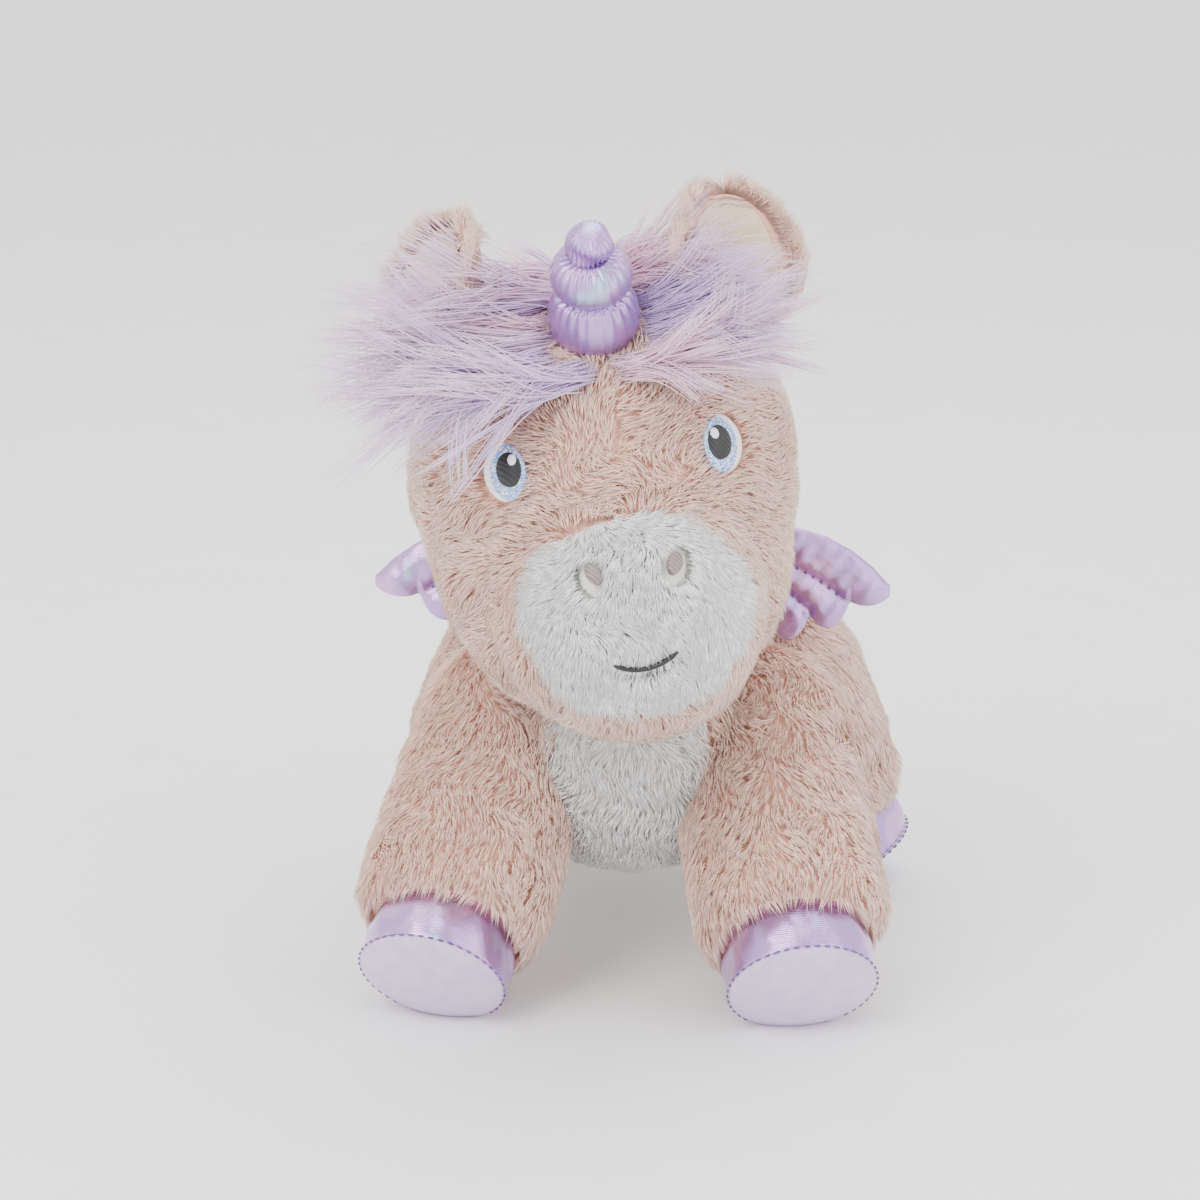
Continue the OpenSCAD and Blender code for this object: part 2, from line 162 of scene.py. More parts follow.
def reach(directions, centre, balls, power):
    """Distance from the centre to the skin along each unit direction: the power mean of the far sides
    of the balls, which rounds off the creases between them."""
    total = 0
    for middle, radius in balls:
        d = middle - centre
        along = directions @ d
        total = total + (along + np.sqrt(np.maximum(along**2 - d @ d + radius**2, 0.01))) ** power
    return total ** (1 / power)


def star_skin(directions, centre, balls, power):
    """Points and outward normals of a star-shaped skin, the normals from small steps to each side."""
    r = reach(directions, centre, balls, power)
    a = unit(np.cross(directions, np.where(np.abs(directions[..., 2:]) < 0.9, [0.0, 0, 1], [1.0, 0, 0])))
    b = np.cross(directions, a)
    step = 0.01
    points = centre + directions * r[..., None]
    ends = []
    for side in (a, b):
        turned = unit(directions + step * side)
        ends.append(centre + turned * reach(turned, centre, balls, power)[..., None] - points)
    normals = unit(np.cross(ends[0], ends[1]))
    return points, normals * np.sign((normals * directions).sum(-1, keepdims=True)), r


def inside(points, balls, depth):
    """True where a point lies deeper than depth inside any of the balls."""
    deep = np.zeros(len(points), bool)
    for middle, radius in balls:
        deep |= np.linalg.norm(points - middle, axis=-1) < radius - depth
    return deep


# ---- meshes ----


def mesh_object(name, points, faces, material, tint=None, uv=None, smooth=True):
    """One mesh from points in mm and a list of arrays of faces with three or four corners each."""
    mesh = bpy.data.meshes.new(name)
    corners = np.concatenate([f.ravel() for f in faces]).astype(np.int32)
    sizes = np.concatenate([np.full(len(f), f.shape[1]) for f in faces]).astype(np.int32)
    mesh.vertices.add(len(points))
    mesh.vertices.foreach_set("co", (np.asarray(points) * MM).astype(np.float32).ravel())
    mesh.loops.add(len(corners))
    mesh.loops.foreach_set("vertex_index", corners)
    mesh.polygons.add(len(sizes))
    mesh.polygons.foreach_set("loop_start", np.concatenate([[0], np.cumsum(sizes)[:-1]]).astype(np.int32))
    mesh.polygons.foreach_set("loop_total", sizes)
    mesh.polygons.foreach_set("use_smooth", np.full(len(sizes), smooth))
    mesh.update(calc_edges=True)
    mesh.validate()
    if tint is not None:
        layer = mesh.color_attributes.new("tint", "FLOAT_COLOR", "POINT")
        opaque = np.column_stack([tint, np.ones(len(tint))])
        layer.data.foreach_set("color", opaque.astype(np.float32).ravel())
    if uv is not None:
        layer = mesh.uv_layers.new(name="OFBake")
        layer.data.foreach_set("uv", uv[corners].astype(np.float32).ravel())
    mesh.materials.append(material)
    obj = bpy.data.objects.new(name, mesh)
    bpy.context.scene.collection.objects.link(obj)
    return obj


def tube_faces(rows, cols):
    """Quads of a grid whose columns go round and whose first and last rows close on one point each,
    which come after the grid's points: the first pole, then the last."""
    i, j = np.arange(rows - 1)[:, None], np.arange(cols)[None, :]
    a, b = i * cols + j, i * cols + (j + 1) % cols
    quads = np.stack([a, b, b + cols, a + cols], -1).reshape(-1, 4)
    ring = np.arange(cols)
    after = (ring + 1) % cols
    start, end = rows * cols, rows * cols + 1
    low = np.stack([np.full(cols, start), after, ring], -1)
    top = np.stack([np.full(cols, end), (rows - 1) * cols + ring, (rows - 1) * cols + after], -1)
    return [quads, low, top]


def closed_grid(name, grid, first, last, material, tint=None, flip=False):
    """A closed skin from a grid of points [row, round, xyz] and its two poles."""
    rows, cols = grid.shape[:2]
    points = np.concatenate([grid.reshape(-1, 3), [first, last]])
    faces = tube_faces(rows, cols)
    if flip:
        faces = [f[:, ::-1] for f in faces]
    colours = tint(points) if callable(tint) else tint
    return mesh_object(name, points, faces, material, colours)


def revolve(profile, cols, shape=None):
    """Grid of a profile of [distance from the axis, height] turned about z; shape changes radius and
    height."""
    angle = np.arange(cols) / cols * 2 * math.pi
    r, z = profile[:, :1] + 0 * angle, profile[:, 1:] + 0 * angle
    if shape:
        r, z = shape(r, z, angle)
    return np.stack([r * np.cos(angle), r * np.sin(angle), z], -1)


def bars(starts, ends, radius, sides=6, rows=5):
    """Short round-ended threads, one from each start to each end: points and face arrays of all of
    them."""
    t = np.linspace(0, 1, rows)
    width = radius * np.sqrt(np.clip(1 - (2 * t - 1) ** 4, 0.15, 1))
    along = unit(ends - starts)
    a = unit(np.cross(along, np.where(np.abs(along[:, 2:]) < 0.9, [0.0, 0, 1], [1.0, 0, 0])))
    b = np.cross(along, a)
    angle = np.arange(sides) / sides * 2 * math.pi
    centre = starts[:, None, None] + (ends - starts)[:, None, None] * t[None, :, None, None]
    cos, sin = np.cos(angle)[None, None, :, None], np.sin(angle)[None, None, :, None]
    around = cos * a[:, None, None] + sin * b[:, None, None]
    grid = centre + around * width[None, :, None, None]
    points = np.concatenate([grid.reshape(len(starts), -1, 3), starts[:, None], ends[:, None]], 1)
    step = points.shape[1] * np.arange(len(starts))[:, None, None]
    faces = [(f[None] + step).reshape(-1, f.shape[1]) for f in tube_faces(rows, sides)]
    return points.reshape(-1, 3), faces


# ---- colours and materials ----


def colour(text):
    """Linear red, green and blue of a colour written in hexadecimal."""
    c = np.array([int(text[i : i + 2], 16) for i in (0, 2, 4)]) / 255
    return np.where(c <= 0.04045, c / 12.92, ((c + 0.055) / 1.055) ** 2.4)


# Root colours are the tip colours darkened: painted shade deep in the pile, also used for the skin between
# strands.
PINK_ROOT_SHADED, PINK_TIP = colour("f0bda9"), colour("ffe0d0")
WHITE_ROOT_SHADED, WHITE_TIP = colour("f2f1ec"), colour("ffffff")
LOCK_TINTS = colour("ffd6ea"), colour("e6cbfb"), colour("fff2fb")    # pink, lilac and the pale tips


def rgba(text):
    """The same colour as four numbers, opaque."""
    return (*colour(text), 1.0)


class Shader:
    """A material under construction; add() puts in one node with its settings and its linked or plain
    inputs."""

    def __init__(self, name, **values):
        self.material = bpy.data.materials.new(name)
        self.material.use_nodes = True
        self.tree = self.material.node_tree
        self.surface = self.tree.nodes["Principled BSDF"]
        for key, value in values.items():
            self.surface.inputs[key.replace("_", " ")].default_value = value

    def add(self, kind, inputs=None, **settings):
        """One node; settings are its properties, inputs its plain values or the sockets linked to it."""
        node = self.tree.nodes.new(kind)
        for key, value in settings.items():
            setattr(node, key, value)
        for key, value in (inputs or {}).items():
            if isinstance(value, bpy.types.NodeSocket):
                self.tree.links.new(value, node.inputs[key])
            else:
                node.inputs[key].default_value = value
        return node

    def link(self, socket, name):
        """Joins a socket to the named input of the surface."""
        self.tree.links.new(socket, self.surface.inputs[name])

    def place(self):
        """Coordinates that stay with the object."""
        return self.add("ShaderNodeTexCoord").outputs["Object"]

    def ramp(self, factor, stops):
        """Colour ramp over a factor; each stop is its position and its colour."""
        node = self.add("ShaderNodeValToRGB", {"Fac": factor})
        elements = node.color_ramp.elements
        while len(elements) < len(stops):
            elements.new(0.5)
        for element, (position, text) in zip(elements, stops):
            element.position, element.color = position, rgba(text)
        return node.outputs["Color"]

    def bump(self, height, strength, distance_mm):
        """Relief from a height, on the whole surface."""
        inputs = {"Height": height, "Strength": strength, "Distance": distance_mm * MM}
        node = self.add("ShaderNodeBump", inputs)
        self.link(node.outputs["Normal"], "Normal")


MATERIALS = {}


def fur_material():
    """Acrylic faux fur: fine crimped fibres knitted into a backing, sheared to one length."""
    s = Shader("faux_fur", Roughness=0.7, Specular_IOR_Level=0.25, Sheen_Weight=0.25, Sheen_Roughness=0.4)
    # The tint attribute darkens toward the roots and on the skin: painted shade in the pile.
    s.link(s.add("ShaderNodeAttribute", attribute_name="tint").outputs["Color"], "Base Color")
    return s.material


def long_pile_material():
    """Long acrylic pile, straight and silky, dyed after knitting."""
    s = Shader("long_pile", Roughness=0.45, Specular_IOR_Level=0.4, Sheen_Weight=0.2, Sheen_Roughness=0.3)
    # The tint attribute is darker toward the roots: painted shade under the long pile.
    s.link(s.add("ShaderNodeAttribute", attribute_name="tint").outputs["Color"], "Base Color")
    return s.material


def foil_material():
    """Knitted polyester with a pressed-on iridescent film, which shifts from lilac to cyan and pink."""
    s = Shader("foil_fabric", Metallic=0.85, Roughness=0.24, Coat_Weight=0.6, Coat_Roughness=0.1)
    s.surface.inputs["Thin Film Thickness"].default_value = 420.0
    s.surface.inputs["Thin Film IOR"].default_value = 1.45
    place = s.place()
    broad = s.add("ShaderNodeTexNoise", {"Vector": place, "Scale": 38.0, "Detail": 3.0, "Distortion": 0.8})
    stops = [(0.3, "a9c4dd"), (0.42, "b592d2"), (0.52, "bb95d4"), (0.64, "d2a6dc"), (0.74, "c9b4e6")]
    s.link(s.ramp(broad.outputs["Fac"], stops), "Base Color")
    weave = s.add(
        "ShaderNodeTexWave", {"Vector": place, "Scale": 500.0, "Distortion": 1.5}, bands_direction="Z"
    )
    crease = s.add("ShaderNodeTexNoise", {"Vector": place, "Scale": 120.0, "Detail": 4.0})
    mixed = s.add("ShaderNodeMath", {0: weave.outputs["Fac"], 1: 0.12}, operation="MULTIPLY")
    height = s.add("ShaderNodeMath", {0: mixed.outputs[0], 1: crease.outputs["Fac"]}, operation="ADD")
    s.bump(height.outputs[0], 0.5, 1.0)
    return s.material


def cloth_material(name, text, dark, roughness, cell_mm, strength, sheen=0.2):
    """Plain or brushed cloth: fine mottling of its colour and a bump of yarn-sized cells."""
    s = Shader(name, Roughness=roughness, Specular_IOR_Level=0.3, Sheen_Weight=sheen)
    place = s.place()
    noise = s.add("ShaderNodeTexNoise", {"Vector": place, "Scale": 1000.0 / (cell_mm * 12), "Detail": 5.0})
    s.link(s.ramp(noise.outputs["Fac"], [(0.3, dark), (0.7, text)]), "Base Color")
    cells = s.add("ShaderNodeTexVoronoi", {"Vector": place, "Scale": 1000.0 / cell_mm})
    s.bump(cells.outputs["Distance"], strength, 0.3)
    return s.material


def thread_material(name, text, dark, pitch_mm, roughness=0.38):
    """Satin embroidery or twisted thread: bands of thread side by side, shiny along their length, with painted
    shade in the grooves.
    """
    s = Shader(name, Roughness=roughness, Specular_IOR_Level=0.55)
    place = s.place()
    inputs = {"Vector": place, "Scale": 314.0 / pitch_mm / 2, "Distortion": 1.2, "Detail": 1.0}
    wave = s.add("ShaderNodeTexWave", inputs, bands_direction="DIAGONAL")
    # Colour follows the same wave as the bump, darker in its grooves: painted shade between the threads.
    s.link(s.ramp(wave.outputs["Fac"], [(0.0, dark), (0.6, text)]), "Base Color")
    s.bump(wave.outputs["Fac"], 0.5, 0.25)
    return s.material


def glitter_material():
    """Embroidery with metallised thread among the plain, which sparkles in dots, painted as near-white cells
    in the colour.
    """
    s = Shader("glitter_thread", Roughness=0.3, Metallic=0.15)
    place = s.place()
    dots = s.add("ShaderNodeTexVoronoi", {"Vector": place, "Scale": 1500.0})
    # Some cells take the near-white last stop: the metallised thread's own silver with painted glints on it.
    stops = [(0.0, "4f6fb0"), (0.35, "7f9fd6"), (0.62, "9dbbe8"), (0.8, "f3f8ff")]
    s.link(s.ramp(dots.outputs["Color"], stops), "Base Color")
    s.bump(dots.outputs["Distance"], 0.6, 0.2)
    return s.material


def make_materials():
    """All finishes, by the record's slot names."""
    MATERIALS.update(
        {
            "pink_fur": fur_material(),
            "long_pile": long_pile_material(),
            "foil_fabric": foil_material(),
            # cotton velvet, its short pile brushed flat
            "velvet": cloth_material("velvet", "e6d7b6", "d2bf98", 0.75, 0.9, 0.35, 0.5),
            # brushed polyester knit, matt and pale lilac
            "sole_fabric": cloth_material("sole_fabric", "d3bfe0", "c6aed6", 0.6, 0.7, 0.3),
            # twisted polyester sewing thread
            "thread": thread_material("seam_thread", "6d4a96", "4a2f70", 0.8, 0.5),
            # rayon embroidery thread, black
            "black_thread": thread_material("black_thread", "17171b", "08080a", 0.7),
            # rayon embroidery thread, white with a lilac cast
            "eye_white_thread": thread_material("white_thread", "f6f4fb", "dcd6ea", 0.7),
            "eye_blue_thread": glitter_material(),
            # rayon embroidery thread, mauve grey
            "nostril_thread": thread_material("nostril_thread", "8f7f7e", "6f6060", 0.7),
            # woven satin ribbon
            "label_satin": cloth_material("label_satin", "f7f7f5", "e9e9e6", 0.35, 0.5, 0.15),
            # carded polyester fibre
            "stuffing": cloth_material("stuffing", "f7f6f2", "e8e7e2", 0.9, 2.5, 0.8, 0.6),
            # painted board, the studio floor
            "floor": cloth_material("studio_floor", "fbfbfb", "f8f8f8", 0.8, 4.0, 0.02, 0.0),
        }
    )


# ---- hair ----


def tufts(points, cell):
    """Nearest of the tuft centres, one in each cell of a cubic grid moved by a random part of the
    cell."""
    base = np.floor(points / cell).astype(np.int64)
    best = np.full(len(points), 1e9)
    nearest = points.copy()
    for offset in np.stack(np.meshgrid(*[[-1, 0, 1]] * 3), -1).reshape(-1, 3):
        cells = base + offset
        key = (cells * np.array([73856093, 19349663, 83492791])).sum(1)
        jitter = np.stack([(key * m % 9973) / 9973 for m in (7, 131, 2741)], 1)
        seeds = (cells + jitter) * cell
        distance = ((points - seeds) ** 2).sum(1)
        closer = distance < best
        best = np.where(closer, distance, best)
        nearest[closer] = seeds[closer]
    return nearest


def fur(name, roots, normals, comb, white, seed, body):
    """Short pile: one closed, bent spindle for each root. The comb is the way that the pile lies, tips
    are drawn together into tufts, and each strand's colour darkens toward its root as painted shade."""
    look = bpy.context.scene.unicorn_fur
    rng = np.random.default_rng(seed)
    n = len(roots)
    length = look.length * rng.uniform(0.75, 1.2, (n, 1)) * (1 + 0.12 * waves(roots, 26, seed)[:, None])
    drift = np.stack([waves(roots, 30, seed + k) for k in (1, 2, 3)], 1) * 0.75
    drift = drift + rng.normal(0, 0.16, (n, 3))
    lie = unit(comb + drift)
    lie = unit(lie - normals * (lie * normals).sum(1, keepdims=True))
    middle = roots + length * (normals * 0.42 + lie * 0.30)
    tip = roots + length * (normals * 0.52 + lie * 0.86)
    centre = tufts(roots, look.tuft)
    pull = centre - roots
    pull -= normals * (pull * normals).sum(1, keepdims=True)
    middle += 0.18 * pull
    tip += look.clump * pull
    kept = in_room(tip[:, None])
    roots, normals, middle, tip, white = (v[kept] for v in (roots, normals, middle, tip, white))
    n = len(roots)
    axis = unit(tip - roots)
    a = unit(np.cross(axis, normals + 0.01))
    b = np.cross(axis, a)
    w = look.width / 2 * rng.uniform(0.75, 1.25, (n, 1))
    ring = [middle + w * (math.cos(t) * a + math.sin(t) * b) for t in (0, 2.094, 4.189)]
    points = np.stack([roots - normals * 0.6, *ring, tip], 1).reshape(-1, 3)
    points[:, 2] = np.maximum(points[:, 2], 0.3)
    k = np.arange(n)[:, None] * 5
    spindle = ([0, 2, 1], [0, 3, 2], [0, 1, 3], [4, 1, 2], [4, 2, 3], [4, 3, 1])
    faces = np.concatenate([k + np.array(face) for face in spindle])
    # Root colours darker than tip colours: painted shade low in the pile.
    low = np.where(white[:, None], WHITE_ROOT_SHADED, PINK_ROOT_SHADED)
    high = np.where(white[:, None], WHITE_TIP, PINK_TIP)
    shade = 1 + 0.05 * waves(roots, 18, seed + 9)[:, None] + rng.normal(0, 0.035, (n, 1))
    root_shaded_tint, tip_tint = low * shade, high * shade
    mid_tint = root_shaded_tint * 0.42 + tip_tint * 0.58
    tint = np.stack([root_shaded_tint, mid_tint, mid_tint, mid_tint, tip_tint], 1).reshape(-1, 3)
    side = math.ceil(math.sqrt(n))
    cell = np.stack([np.arange(n) % side, np.arange(n) // side], 1)[:, None]
    spots = np.array([[0.15, 0.15], [0.5, 0.15], [0.85, 0.5], [0.15, 0.5], [0.85, 0.85]])
    uv = ((cell + spots) / side).reshape(-1, 2)
    obj = mesh_object(name, points, [faces], MATERIALS["pink_fur"], np.clip(tint, 0, 1), uv)
    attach(obj, body)


def locks(name, roots, heading, fall, length, guides, per_lock, tints, seed, body, push=None):
    """Long pile: guide curves that start along a heading and bend toward fall, pushed off the skin
    after each step, with strands gathered round each guide that close in toward its end. Each strand is
    a tube with three sides."""
    rng = np.random.default_rng(seed)
    segments = 9
    n = guides * per_lock
    pick = rng.integers(0, len(roots), guides)
    start = np.repeat(roots[pick], per_lock, 0) + rng.normal(0, 1.8, (n, 3))
    way = np.repeat(unit(heading[pick] + rng.normal(0, 0.13, (guides, 3))), per_lock, 0)
    size = np.repeat(length[pick] * rng.uniform(0.72, 1.1, guides), per_lock) * rng.uniform(0.82, 1.08, n)
    droop = np.repeat(fall[pick] * rng.uniform(0.6, 1.4, (guides, 1)), per_lock, 0)
    lift = np.repeat(rng.uniform(1, 5, guides), per_lock) + rng.uniform(-1.5, 1.5, n)
    curl = np.repeat(rng.normal(0, 0.10, (guides, 3)), per_lock, 0)
    spine = [start]
    for k in range(segments):
        t = (k + 1) / segments
        way = unit(way + droop + curl * math.sin(3 * t) + rng.normal(0, 0.03, (n, 3)))
        step = spine[-1] + way * (size / segments)[:, None]
        if push is not None:
            step = push(step, lift * math.sin(math.pi * min(t * 1.2, 1)) + 2)
        way = unit(step - spine[-1])
        spine.append(step)
    spine = np.stack(spine, 1)
    guide = spine.reshape(guides, per_lock, segments + 1, 3).mean(1, keepdims=True)
    close = (np.linspace(0, 1, segments + 1) ** 1.3 * 0.62)[None, None, :, None]
    spine = spine.reshape(guides, per_lock, segments + 1, 3) * (1 - close) + guide * close
    spine = spine.reshape(n, segments + 1, 3)
    spine[..., 2] = np.maximum(spine[..., 2], 0.8)
    kept = in_room(spine)
    spine, n = spine[kept], int(kept.sum())
    along = unit(np.gradient(spine, axis=1))
    a = unit(np.cross(along, [0.31, 0.22, 0.92]))
    b = np.cross(along, a)
    taper = 0.34 * np.array([0.8, 1, 1, 1, 0.95, 0.85, 0.72, 0.55, 0.36])
    width = taper[None, :, None] * rng.uniform(0.7, 1.25, (n, 1, 1))
    rings = [spine[:, :-1] + width * (math.cos(t) * a + math.sin(t) * b)[:, :-1] for t in (0, 2.094, 4.189)]
    grid = np.stack(rings, 2).reshape(n, -1, 3)
    points = np.concatenate([grid, spine[:, :1], spine[:, -1:]], 1)
    per = points.shape[1]
    step = np.arange(n)[:, None, None] * per
    faces = [(f[None] + step).reshape(-1, f.shape[1]) for f in tube_faces(segments, 3)]
    first, second, third = (np.asarray(c) for c in tints)
    mix = np.clip(0.5 + 0.9 * waves(roots[pick], 45, seed + 4) + rng.normal(0, 0.16, guides), 0, 1)
    mix = np.repeat(mix, per_lock)[kept]
    base = first * (1 - mix[:, None]) + second * mix[:, None]
    base = base * (1 + rng.normal(0, 0.04, (n, 1)))
    t = np.concatenate([np.repeat(np.linspace(0, 0.9, segments), 3), [0, 1]])[None, :, None]
    # Darker toward the root by 0.86: painted shade where the long pile lies on the skin; toward the tip the
    # pale tint is mixed in.
    tint = base[:, None] * (0.86 + 0.14 * t) * (1 - 0.5 * t**2) + third * 0.5 * t**2
    side = math.ceil(math.sqrt(n))
    cell = np.stack([np.arange(n) % side, np.arange(n) // side], 1)[:, None]
    row = np.concatenate([np.repeat(np.linspace(0.1, 0.85, segments), 3), [0.05, 0.95]])
    column = np.concatenate([np.tile([0.2, 0.5, 0.8], segments), [0.5, 0.5]])
    uv = ((cell + np.stack([column, row], 1)) / side).reshape(-1, 2)
    tint = np.clip(tint, 0, 1).reshape(-1, 3)
    obj = mesh_object(name, points.reshape(-1, 3), faces, MATERIALS["long_pile"], tint, uv)
    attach(obj, body)
    return obj


def settle(obj, body, nodes):
    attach(obj, body)
    if nodes:
        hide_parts(*nodes)
    return obj


def scatter(centre, balls, power, count, seed, keep):
    """Roots spread evenly over a star-shaped skin: random directions, each kept as often as its patch
    of skin is large, until count roots lie where keep() says so."""
    rng = np.random.default_rng(seed)
    points, normals = np.zeros((0, 3)), np.zeros((0, 3))
    for _ in range(24):
        directions = unit(rng.normal(size=(count, 3)))
        p, n, r = star_skin(directions, centre, balls, power)
        area = r**2 / np.maximum((n * directions).sum(1), 0.2)
        good = (rng.random(count) < area / np.percentile(area, 99.5)) & keep(p)
        points, normals = np.concatenate([points, p[good]]), np.concatenate([normals, n[good]])
        if len(points) >= count:
            break
    return points[:count], normals[:count]


# ---- head ----


def on_patch(p):
    """True on the white patch of the muzzle: an oval seen from the front."""
    oval_sum = (p[:, 0] / 45) ** 2 + ((p[:, 2] + 5) / 39) ** 2 + 0.06 * waves(p, 20, 77)
    return (oval_sum < 1) & (p[:, 1] < PATCH_FRONT)


def eye_axes(side):
    """Outward, sideways and upward directions at the middle of an eye, in the unturned head."""
    level = math.cos(EYE_UP)
    out = np.array([SIDES[side] * math.sin(EYE_SIDE) * level, -math.cos(EYE_SIDE) * level, math.sin(EYE_UP)])
    across = unit(np.cross([0.0, 0, 1], out))
    return out, across, np.cross(out, across)


def embroidered(p):
    """True under or close to an eye, a nostril or the mouth, where no pile grows."""
    bare = np.zeros(len(p), bool)
    for side in SIDES:
        out, across, up = eye_axes(side)
        q = p - SKULL
        bare |= (((q @ across) / 11.5) ** 2 + ((q @ up) / 13.5) ** 2 < 1) & (q @ out > 40)
        q = p - MUZZLE
        nostril = np.array([SIDES[side] * 16.5, 0, 27])
        bare |= (np.linalg.norm((q - nostril)[:, [0, 2]] / [6.0, 7.6], axis=1) < 1) & (q[:, 1] < -20)
    q = p - MUZZLE
    line = -12 + 0.022 * q[:, 0] ** 2 + 0.09 * q[:, 0]
    bare |= (np.abs(q[:, 0]) < 14) & (np.abs(q[:, 2] - line) < 2.6) & (q[:, 1] < -20)
    return bare


def head_comb(p):
    """The pile lies outwards from the bridge of the nose: over the brow, along the cheeks and down the
    chin."""
    q = p - (MUZZLE + [0, -20, 8])
    flat = np.stack([q[:, 0], 0.9 * q[:, 1], q[:, 2] - 20], 1)
    return unit(flat) + [0, 0.25, -0.55]


def skull_push(points, lift):
    """Moves points that are under the pile of the skull out to lift above it."""
    q = to_head(points) - SKULL
    distance = np.linalg.norm(q, axis=1, keepdims=True)
    least = SKULL_R + 3 + np.reshape(lift, (-1, 1))
    return np.where(distance < least, from_head(SKULL + q / distance * least), points)


def star_object(name, centre, balls, power, rows, cols, place, tint):
    """Closed skin of a star-shaped solid, its rows and columns even in angle."""
    u = (np.arange(rows) + 0.5) / rows * math.pi
    v = np.arange(cols) / cols * 2 * math.pi
    directions = np.stack(
        [np.sin(u)[:, None] * np.cos(v), np.sin(u)[:, None] * np.sin(v), np.cos(u)[:, None] + 0 * v], -1
    )
    points, _, _ = star_skin(directions, centre, balls, power)
    poles, _, _ = star_skin(np.array([[0, 0, 1.0], [0, 0, -1.0]]), centre, balls, power)
    colours = tint(np.concatenate([points.reshape(-1, 3), poles]))
    first, last = place(poles[0]), place(poles[1])
    return closed_grid(name, place(points), first, last, MATERIALS["pink_fur"], colours)


def build_head():
    """Head: one stuffed skin, with pink pile on its two sides and white pile on the muzzle."""
    look = bpy.context.scene.unicorn_fur
    # The skin takes the root colours: painted shade where it shows between the strands.
    skin = star_object(
        "head_skin", HEAD_CENTRE, HEAD_BALLS, HEAD_POWER, 120, 200, from_head,
        lambda p: np.where(on_patch(p)[:, None], WHITE_ROOT_SHADED, PINK_ROOT_SHADED),
    )
    settle(skin, "head", ["head_side_left", "head_side_right", "muzzle_panel"])
    ears = [(SKULL + np.array(EAR_PLACE) * [s, 1, 1], 11.0) for s in SIDES.values()]
    regions = {
        "head_fur_left": (look.head_count, lambda p: (p[:, 0] < 0) & ~on_patch(p)),
        "head_fur_right": (look.head_count, lambda p: (p[:, 0] >= 0) & ~on_patch(p)),
        "muzzle_fur": (look.muzzle_count, on_patch),
    }
    chest = to_head(CHEST[None])[0]
    for k, (name, (count, region)) in enumerate(regions.items()):

        def keep(p, region=region):
            hidden = inside(p, [(chest, CHEST_R)], BURIED) | inside(p, ears, 0)
            return region(p) & ~embroidered(p) & ~hidden

        roots, normals = scatter(HEAD_CENTRE, HEAD_BALLS, HEAD_POWER, count, 11 + k, keep)
        comb = head_comb(roots)
        white = np.full(len(roots), name == "muzzle_fur")
        fur(name, from_head(roots), normals @ HEAD_SPIN.T, comb @ HEAD_SPIN.T, white, 31 + k, "head")


def patch_on_ball(centre, radius, axes, middle, outline, lift, rows=14, cols=64):
    """A closed, domed patch lying on a ball: outline gives its points round the middle, across and up
    in mm, and the rows scale it down to the middle. lift is the height of the top over the ball, in mm,
    edge and middle."""
    out, across, up = axes
    angle = np.arange(cols) / cols * 2 * math.pi
    shape = outline(angle)
    edge, top = lift
    under = [(0.1, edge - 3.5), (0.55, edge - 3.5), (1.0, edge - 3.2), (1.0, edge - 0.3)]
    dome = [(s, edge + (top - edge) * (1 - s**2.2)) for s in np.linspace(0.97, 0.05, rows)]
    grid = []
    for scale, height in under + dome:
        across_up = shape * scale + middle
        direction = unit(out * radius + across_up[:, :1] * across + across_up[:, 1:] * up)
        grid.append(centre + direction * (radius + height))
    grid = np.array(grid)
    return grid, grid[0].mean(0), grid[-1].mean(0)


def oval(width, height, lean=0.0, pointed=0.0):
    """Outline of an oval with half its width and height; pointed draws its two ends out, lean turns
    it."""

    def outline(angle):
        x = width * np.cos(angle) * (1 - pointed * np.sin(angle) ** 2)
        y = height * np.sin(angle)
        c, s = math.cos(lean), math.sin(lean)
        return np.stack([x * c - y * s, x * s + y * c], 1)

    return outline


